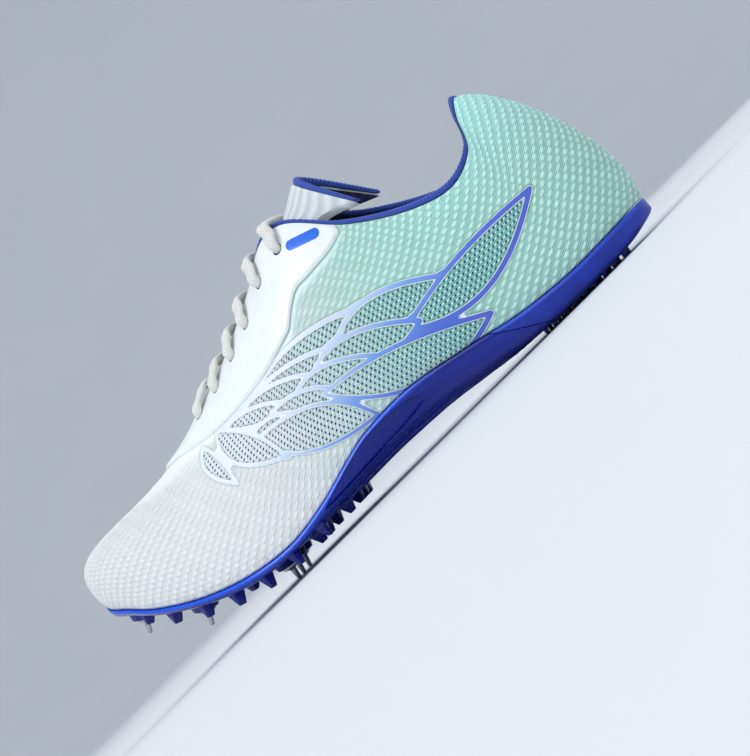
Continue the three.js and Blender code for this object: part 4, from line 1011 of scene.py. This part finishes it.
# %% Laces
LACE = {"wide": 2.9, "thick": 1.4, "end": 1.45, "deep": 1.2, "over_film": 0.45, "lift": 0.9, "taper": 0.14}
LACE_HEIGHTS = {"fold": 0.865, "side": 0.93}
AHEAD = 0.1
LACE_STEPS, LACE_AROUND = 110, 40

lace_finish = Finish("woven_lace", 0.86, Sheen_Weight=0.2)
u, v = lace_finish.pattern()
one_way = lace_finish.wave(lace_finish.math("MULTIPLY_ADD", v, 1.1, u), 1.15)
other = lace_finish.wave(lace_finish.math("MULTIPLY_ADD", v, -1.1, u), 1.15)
braid = lace_finish.math("MAXIMUM", one_way, other)
lace_finish.colour(lace_finish.mix(braid, tone(206, 206, 198), tone(250, 249, 243)))
lace_finish.bump(braid, 0.22)
lace_finish.bump(lace_finish.noise(2600, 2), 0.06)


def smooth_path(points, count):
    """A smooth line through points in space, sampled evenly."""
    points = np.array(points)
    reach = np.r_[0, np.cumsum(np.linalg.norm(np.diff(points, axis=0), axis=1) ** 0.5)]
    lines = [smooth_curve(reach, points[:, i]) for i in range(3)]
    fine = np.stack([line(np.linspace(0, reach[-1], 800)) for line in lines], -1)
    run = run_along(fine, 0)
    even = np.linspace(0, run[-1], count)
    return np.stack([np.interp(even, run, fine[:, i]) for i in range(3)], -1), even


def lace_bar(number, turn):
    face_lift = FILM_GAP + FILM + GAP + LACE["thick"]
    heights_lifts = [(EYELET_HEIGHT, -LACE["deep"]), (EYELET_HEIGHT, LACE["deep"]),
                     (LACE_HEIGHTS["fold"], face_lift + LACE["over_film"]),
                     (LACE_HEIGHTS["side"], face_lift + LACE["over_film"]), (1, face_lift + LACE["lift"])]
    near, far = ([off_skin(at, height, lift) for height, lift in heights_lifts] for at in (turn, 2 * np.pi - turn))
    line, run = smooth_path(near + far[::-1], LACE_STEPS + 1)
    tangent = unit(np.gradient(line, axis=0))
    lengthways = unit(skin(turn + AHEAD, 1.0) - skin(turn - AHEAD, 1.0))
    normal = unit(np.cross(np.broadcast_to(lengthways, tangent.shape), tangent))
    across = unit(np.cross(tangent, normal))
    around = np.linspace(0, 2 * np.pi, LACE_AROUND + 1)
    share = np.linspace(0, 1, LACE_STEPS + 1)
    near_end = np.minimum(1, np.minimum(share, 1 - share) / LACE["taper"])
    wide = LACE["end"] + (LACE["wide"] - LACE["end"]) * near_end
    lobes = 1 - 0.24 * np.exp(-(np.cos(around) / 0.22) ** 2)
    braided = 0.12 * np.abs(np.sin(run[:, None] * np.pi / 1.15 + np.abs(around - np.pi) * 2.2)) - 0.1
    points = (line[:, None] + across[:, None] * ((wide[:, None] + braided) * np.cos(around))[..., None]
              - normal[:, None] * ((LACE["thick"] + braided) * lobes * np.sin(around))[..., None])
    flat = np.stack(np.broadcast_arrays(run[:, None], np.abs(around - np.pi) * 2.2), -1)
    finish_piece(f"lace_{number}", shaped_grid(points, flat=flat), [lace_finish], [f"lace_bar_{number}"])


for number, turn in enumerate(eyelet_turns, 1):
    lace_bar(number, turn)

# %% [markdown]
# ## Studs, bosses and spikes
# The forefoot plate carries moulded studs: thin fins stand along both edges, and low pyramids in
# between. Seven round bosses each hold a steel spike with a six-sided flange.

# %% Places on the underside
STUDS = table("along side long wide tall", [
    (0.6, 0.84, 8, 4.4, 5), (0.655, 0.88, 8, 4, 5), (0.71, 0.88, 7.5, 4, 5), (0.765, 0.88, 7.5, 4, 5),
    (0.82, 0.87, 7, 4, 5), (0.875, 0.84, 7, 4, 4.6), (0.925, 0.78, 6.5, 4, 4.4),
    (0.63, -0.84, 8, 4.4, 5), (0.69, -0.88, 8, 4, 5), (0.75, -0.88, 7.5, 4, 5), (0.81, -0.88, 7.5, 4, 5),
    (0.87, -0.86, 7, 4, 4.6), (0.925, -0.8, 6.5, 4, 4.4), (0.972, 0.1, 5.5, 5.5, 4.2),
    (0.575, 0.45, 6.5, 6.5, 4.6), (0.575, 0.1, 6.5, 6.5, 4.4), (0.585, -0.25, 6.5, 6.5, 4.4),
    (0.6, -0.6, 6.5, 6.5, 4.6), (0.63, 0.55, 6.5, 6.5, 4.6), (0.64, 0.15, 6.5, 6.5, 4.6),
    (0.65, -0.3, 6.5, 6.5, 4.6), (0.77, 0.42, 7, 7, 4.4), (0.78, -0.12, 7, 7, 4.4), (0.88, 0.1, 7, 7, 4.2)])
SPIKES = [(0.944, 0.52, False), (0.944, -0.52, False), (0.838, 0.62, False), (0.838, -0.58, False),
          (0.71, 0.34, True), (0.728, -0.08, True), (0.742, -0.5, True)]
SPIKE = {"flange": 3.5, "flange_tall": 1.2, "land": 0.7, "crown": 0.8, "neck": 1.35, "tip": 0.75, "pin": 5.4}
BOSS = {"foot": 6.4, "face": 5.2, "tall": 3.1}
STUD_TIP, ROOT = 0.35, 1.6


def under_at(share, side):
    """A point of the underside by its share of the length and its place across."""
    turn = turn_at(share)
    outer, inner = sole_edges(turn)
    middle, half = (outer[1] + inner[1]) / 2, (outer[1] - inner[1]) / 2
    edge = outer[2] if side > 0 else inner[2]
    base, power = sole_under(turn) * TALL, sole_square(turn)
    reach = min(abs(side), 1) ** (1 / power)
    rise = 1 - math.sqrt(1 - reach * reach) ** power
    return np.array([outer[0], middle + half * side, base + (edge - base) * rise])


def under_normal(share, side):
    ahead = under_at(share + 0.01, side) - under_at(share - 0.01, side)
    across = under_at(share, side + 0.01) - under_at(share, side - 0.01)
    return unit(np.cross(across, ahead))


def stand(verts, bm, point, direction):
    """Moves a shape built along +Y so that it stands at a point with +Y turned to a direction."""
    way = Vector((0, 1, 0)).rotation_difference(Vector(direction)).to_matrix().to_4x4()
    bmesh.ops.transform(bm, matrix=Matrix.Translation((point + SHIFT) * MM) @ way @ Matrix.Scale(MM, 4), verts=verts)


def add_cone(bm, foot, top, low, high, segments, bevel, point, direction, spin=0.0):
    """A cone from height low to high on the underside, with its far edge rounded."""
    verts = bmesh.ops.create_cone(bm, cap_ends=True, segments=segments, radius1=foot, radius2=top,
                                  depth=high - low)["verts"]
    bmesh.ops.rotate(bm, verts=verts, cent=(0, 0, 0), matrix=Matrix.Rotation(spin, 3, "Z"))
    bmesh.ops.transform(bm, matrix=Matrix.Rotation(-math.pi / 2, 4, "X"), verts=verts)
    bmesh.ops.translate(bm, vec=(0, (low + high) / 2, 0), verts=verts)
    rim = [e for e in {e for v in verts for e in v.link_edges} if all(v.co.y > high - 0.01 for v in e.verts)]
    rounded = bmesh.ops.bevel(bm, geom=rim, offset=bevel, offset_type="OFFSET", affect="EDGES", segments=2,
                              profile=0.5, material=-1, clamp_overlap=True)
    stand(list({v for v in verts if v.is_valid} | set(rounded["verts"])), bm, point, direction)


def add_stud(bm, long, wide, tall, fin, point, direction):
    """A pyramid, or on the edges a thin fin whose crest leans towards the toe."""
    verts = bmesh.ops.create_cube(bm, size=1)["verts"]
    top_long, top_wide, lean = (0.5, 0.2, 0.14) if fin else (STUD_TIP, STUD_TIP, 0.0)
    for vert in verts:
        crest = vert.co.y > 0
        vert.co.z = (vert.co.z * (top_long if crest else 1) - (lean if crest else 0)) * long
        vert.co.x *= wide * (top_wide if crest else 1)
        vert.co.y = tall if crest else -ROOT
    edges = list({e for v in verts for e in v.link_edges})
    rounded = bmesh.ops.bevel(bm, geom=edges, offset=0.22, offset_type="OFFSET", affect="EDGES", segments=2,
                              profile=0.5, material=-1, clamp_overlap=True)
    stand(list({v for v in verts if v.is_valid} | set(rounded["verts"])), bm, point, direction)


def spike_place(share, side, stands):
    point, down = under_at(share, side), under_normal(share, side)
    boss = BOSS["tall"]
    if stands:
        tip_rise = SPIKE["tip"] * math.hypot(down[0], down[1])
        boss = (point[2] - tip_rise) / -down[2] - GAP - SPIKE["flange_tall"] - SPIKE["pin"]
    return point, down, boss


def finish_hard_piece(bm, name, finish, replaces):
    bmesh.ops.recalc_face_normals(bm, faces=bm.faces)
    soften(bm, crease_angle=30)
    finish_piece(name, write_mesh(bm), [finish], replaces)


# %% Studs and bosses
stud_finish = Finish("royal_studs", 0.24, Coat_Weight=0.12, Coat_Roughness=0.15, Specular_IOR_Level=0.4)
worn = stud_finish.noise(500, 6, rough=0.7)
x, y, z = stud_finish.axes()
blue = stud_finish.mix(stud_finish.noise(90), tone(6, 18, 108), tone(10, 32, 144))
rubbed = stud_finish.times(stud_finish.ease(worn, 0.45, 0.7), stud_finish.ease(z, 8, 3))
stud_finish.colour(stud_finish.mix(stud_finish.times(rubbed, 0.4), blue, tone(92, 112, 178)))
stud_finish.roughness(stud_finish.ease(worn, 0.3, 0.75, 0.18, 0.46))
stud_finish.bump(worn, 0.05)
bm = bmesh.new()
for share, side, long, wide, tall in zip(*STUDS.values()):
    add_stud(bm, long, wide, tall, abs(side) > 0.7, under_at(share, side), under_normal(share, side))
for share, side, stands in SPIKES:
    point, down, boss = spike_place(share, side, stands)
    add_cone(bm, BOSS["foot"], BOSS["face"], -ROOT, boss, 36, 0.4, point, down)
    add_cone(bm, SPIKE["flange"] + 1, SPIKE["flange"] + 0.8, boss - 0.3, boss + 0.2, 36, 0.08, point, down)
finish_hard_piece(bm, "plate_studs", stud_finish, ())

# %% [markdown]
# A spike is turned from steel: a flange with six wrench flats, a round land on it, and a pin that
# tapers to a blunt tip. Turning and track dust leave fine rings and a dull film near its foot.

# %% Spikes
steel = Finish("spike_steel", 0.26, Metallic=1.0)
x, y, z = steel.axes()
brushed = steel.noise(900, 4, rough=0.6)
grey = steel.mix(brushed, tone(164, 166, 170), tone(208, 210, 214))
tarnish = steel.times(steel.ease(steel.noise(200, 3), 0.5, 0.75), steel.ease(z, 4, 10))
steel.colour(steel.mix(steel.times(tarnish, 0.4), grey, tone(120, 108, 92)))
steel.roughness(steel.ease(brushed, 0.3, 0.7, 0.14, 0.24))
steel.bump(steel.wave(z, 0.3), 0.02)
steel.bump(brushed, 0.008)
for number, (share, side, stands) in enumerate(SPIKES, 1):
    point, down, boss = spike_place(share, side, stands)
    bm = bmesh.new()
    foot, wide = boss + GAP, SPIKE["flange"]
    top = foot + SPIKE["flange_tall"]
    shoulder = foot + SPIKE["flange_tall"] * SPIKE["land"]
    add_cone(bm, wide, wide, foot - 0.05, shoulder, 6, 0.15, point, down, spin=number)
    add_cone(bm, wide * 0.86, wide * SPIKE["crown"] * 0.9, foot + 0.2, top, 32, 0.2, point, down)
    add_cone(bm, SPIKE["neck"] + 0.5, SPIKE["neck"], top - 0.1, top + 0.6, 28, 0.05, point, down)
    add_cone(bm, SPIKE["neck"], SPIKE["tip"], top, top + SPIKE["pin"], 28, 0.3, point, down)
    finish_hard_piece(bm, f"spike_pin_{number}", steel, [f"spike_{number}"])

# %% [markdown]
# The heel tread is rows of low slanted teeth, so a loop over columns and rows places one small block.

# %% Heel tread
TEETH = {"from": 0.066, "to": 0.212, "columns": 9, "rows": 3, "apart": 0.0924, "stagger": 0.0087,
         "long": 2.1, "wide": 7.0, "turned": math.radians(16), "inside": 1}
bm = bmesh.new()
for column in range(TEETH["columns"]):
    for row in range(TEETH["rows"]):
        share = TEETH["from"] + (TEETH["to"] - TEETH["from"]) * column / (TEETH["columns"] - 1)
        y = ((row - 1) * TEETH["apart"] + (1 if column % 2 else -1) * TEETH["stagger"]) * BALL
        tall = float(sole_under(turn_at(share))) * TALL + TEETH["inside"]
        narrow = min(1.0, 0.62 + 0.1 * column)
        verts = bmesh.ops.create_cube(bm, size=1)["verts"]
        bmesh.ops.scale(bm, vec=(TEETH["long"], TEETH["wide"] * narrow, tall), verts=verts)
        for vert in verts:
            vert.co.x = vert.co.x * (0.55 if vert.co.z < 0 else 1) + (0.25 if vert.co.z < 0 else 0)
        bmesh.ops.rotate(bm, verts=verts, cent=(0, 0, 0), matrix=Matrix.Rotation(TEETH["turned"], 3, "Z"))
        bmesh.ops.translate(bm, vec=(float(x_at(share)), y * narrow, tall / 2), verts=verts)
        bmesh.ops.bevel(bm, geom=list({e for v in verts for e in v.link_edges}), offset=0.18, offset_type="OFFSET",
                        affect="EDGES", segments=2, profile=0.5, material=-1, clamp_overlap=True)
bmesh.ops.transform(bm, matrix=Matrix.Scale(MM, 4) @ Matrix.Translation(Vector(SHIFT)), verts=bm.verts)
finish_hard_piece(bm, "heel_teeth", stud_finish, ())

# %% [markdown]
# ## Floor and light
# A pale floor runs out and curves up into a wall all round, so no hard horizon shows behind the
# low camera. It is one profile, spun round the middle. Three large soft lamps light the shoe.

# %% Stage
BOWL = {"flat": 3.0, "curve": 2.0, "wall": 5.0}
bm = bmesh.new()
bend = [(BOWL["flat"] + BOWL["curve"] * math.sin(a), 0, BOWL["curve"] * (1 - math.cos(a)))
        for a in np.linspace(0, math.pi / 2, 17)]
profile = [(0, 0, 0), *bend, (BOWL["flat"] + BOWL["curve"], 0, BOWL["wall"])]
verts = [bm.verts.new(p) for p in profile]
edges = [bm.edges.new(pair) for pair in zip(verts, verts[1:])]
bmesh.ops.spin(bm, geom=verts + edges, cent=(0, 0, 0), axis=(0, 0, 1), angle=2 * math.pi, steps=64, use_merge=True)
bmesh.ops.remove_doubles(bm, verts=bm.verts, dist=0.0001)
bmesh.ops.recalc_face_normals(bm, faces=bm.faces)
if sum(face.normal.z for face in bm.faces) < 0:
    bmesh.ops.reverse_faces(bm, faces=bm.faces)
for one in bm.faces:
    one.smooth = True
floor = add_object("floor", write_mesh(bm, "floor"))
floor_finish = Finish("floor_paper", 0.6)
floor_finish.colour(floor_finish.mix(floor_finish.noise(3.0), tone(222, 225, 229), tone(230, 232, 235)))
floor.data.materials.append(floor_finish.material)


def lamp(name, spot, size, power, colour=(1, 1, 1)):
    """A square soft lamp that faces the shoe."""
    light = add_object(name, bpy.data.lights.new(name, "AREA"))
    light.data.size, light.data.energy, light.data.color = size, power, colour
    light.location = spot
    light.rotation_euler = (Vector((0, 0, 0.05)) - Vector(spot)).to_track_quat("-Z", "Y").to_euler()


lamp("key", (0.5, 1.2, 1.4), 1.0, 17)
lamp("fill", (-1.4, 1.0, 0.5), 1.2, 3, (0.93, 0.96, 1))
lamp("rim", (-0.6, -1.3, 1.3), 1.0, 7)
world = bpy.data.worlds.new("studio")
bpy.context.scene.world = world
world.use_nodes = True
world.node_tree.nodes["Background"].inputs[0].default_value = tone(226, 232, 240)
world.node_tree.nodes["Background"].inputs[1].default_value = 0.92
bpy.context.scene.view_settings.view_transform = "Standard"
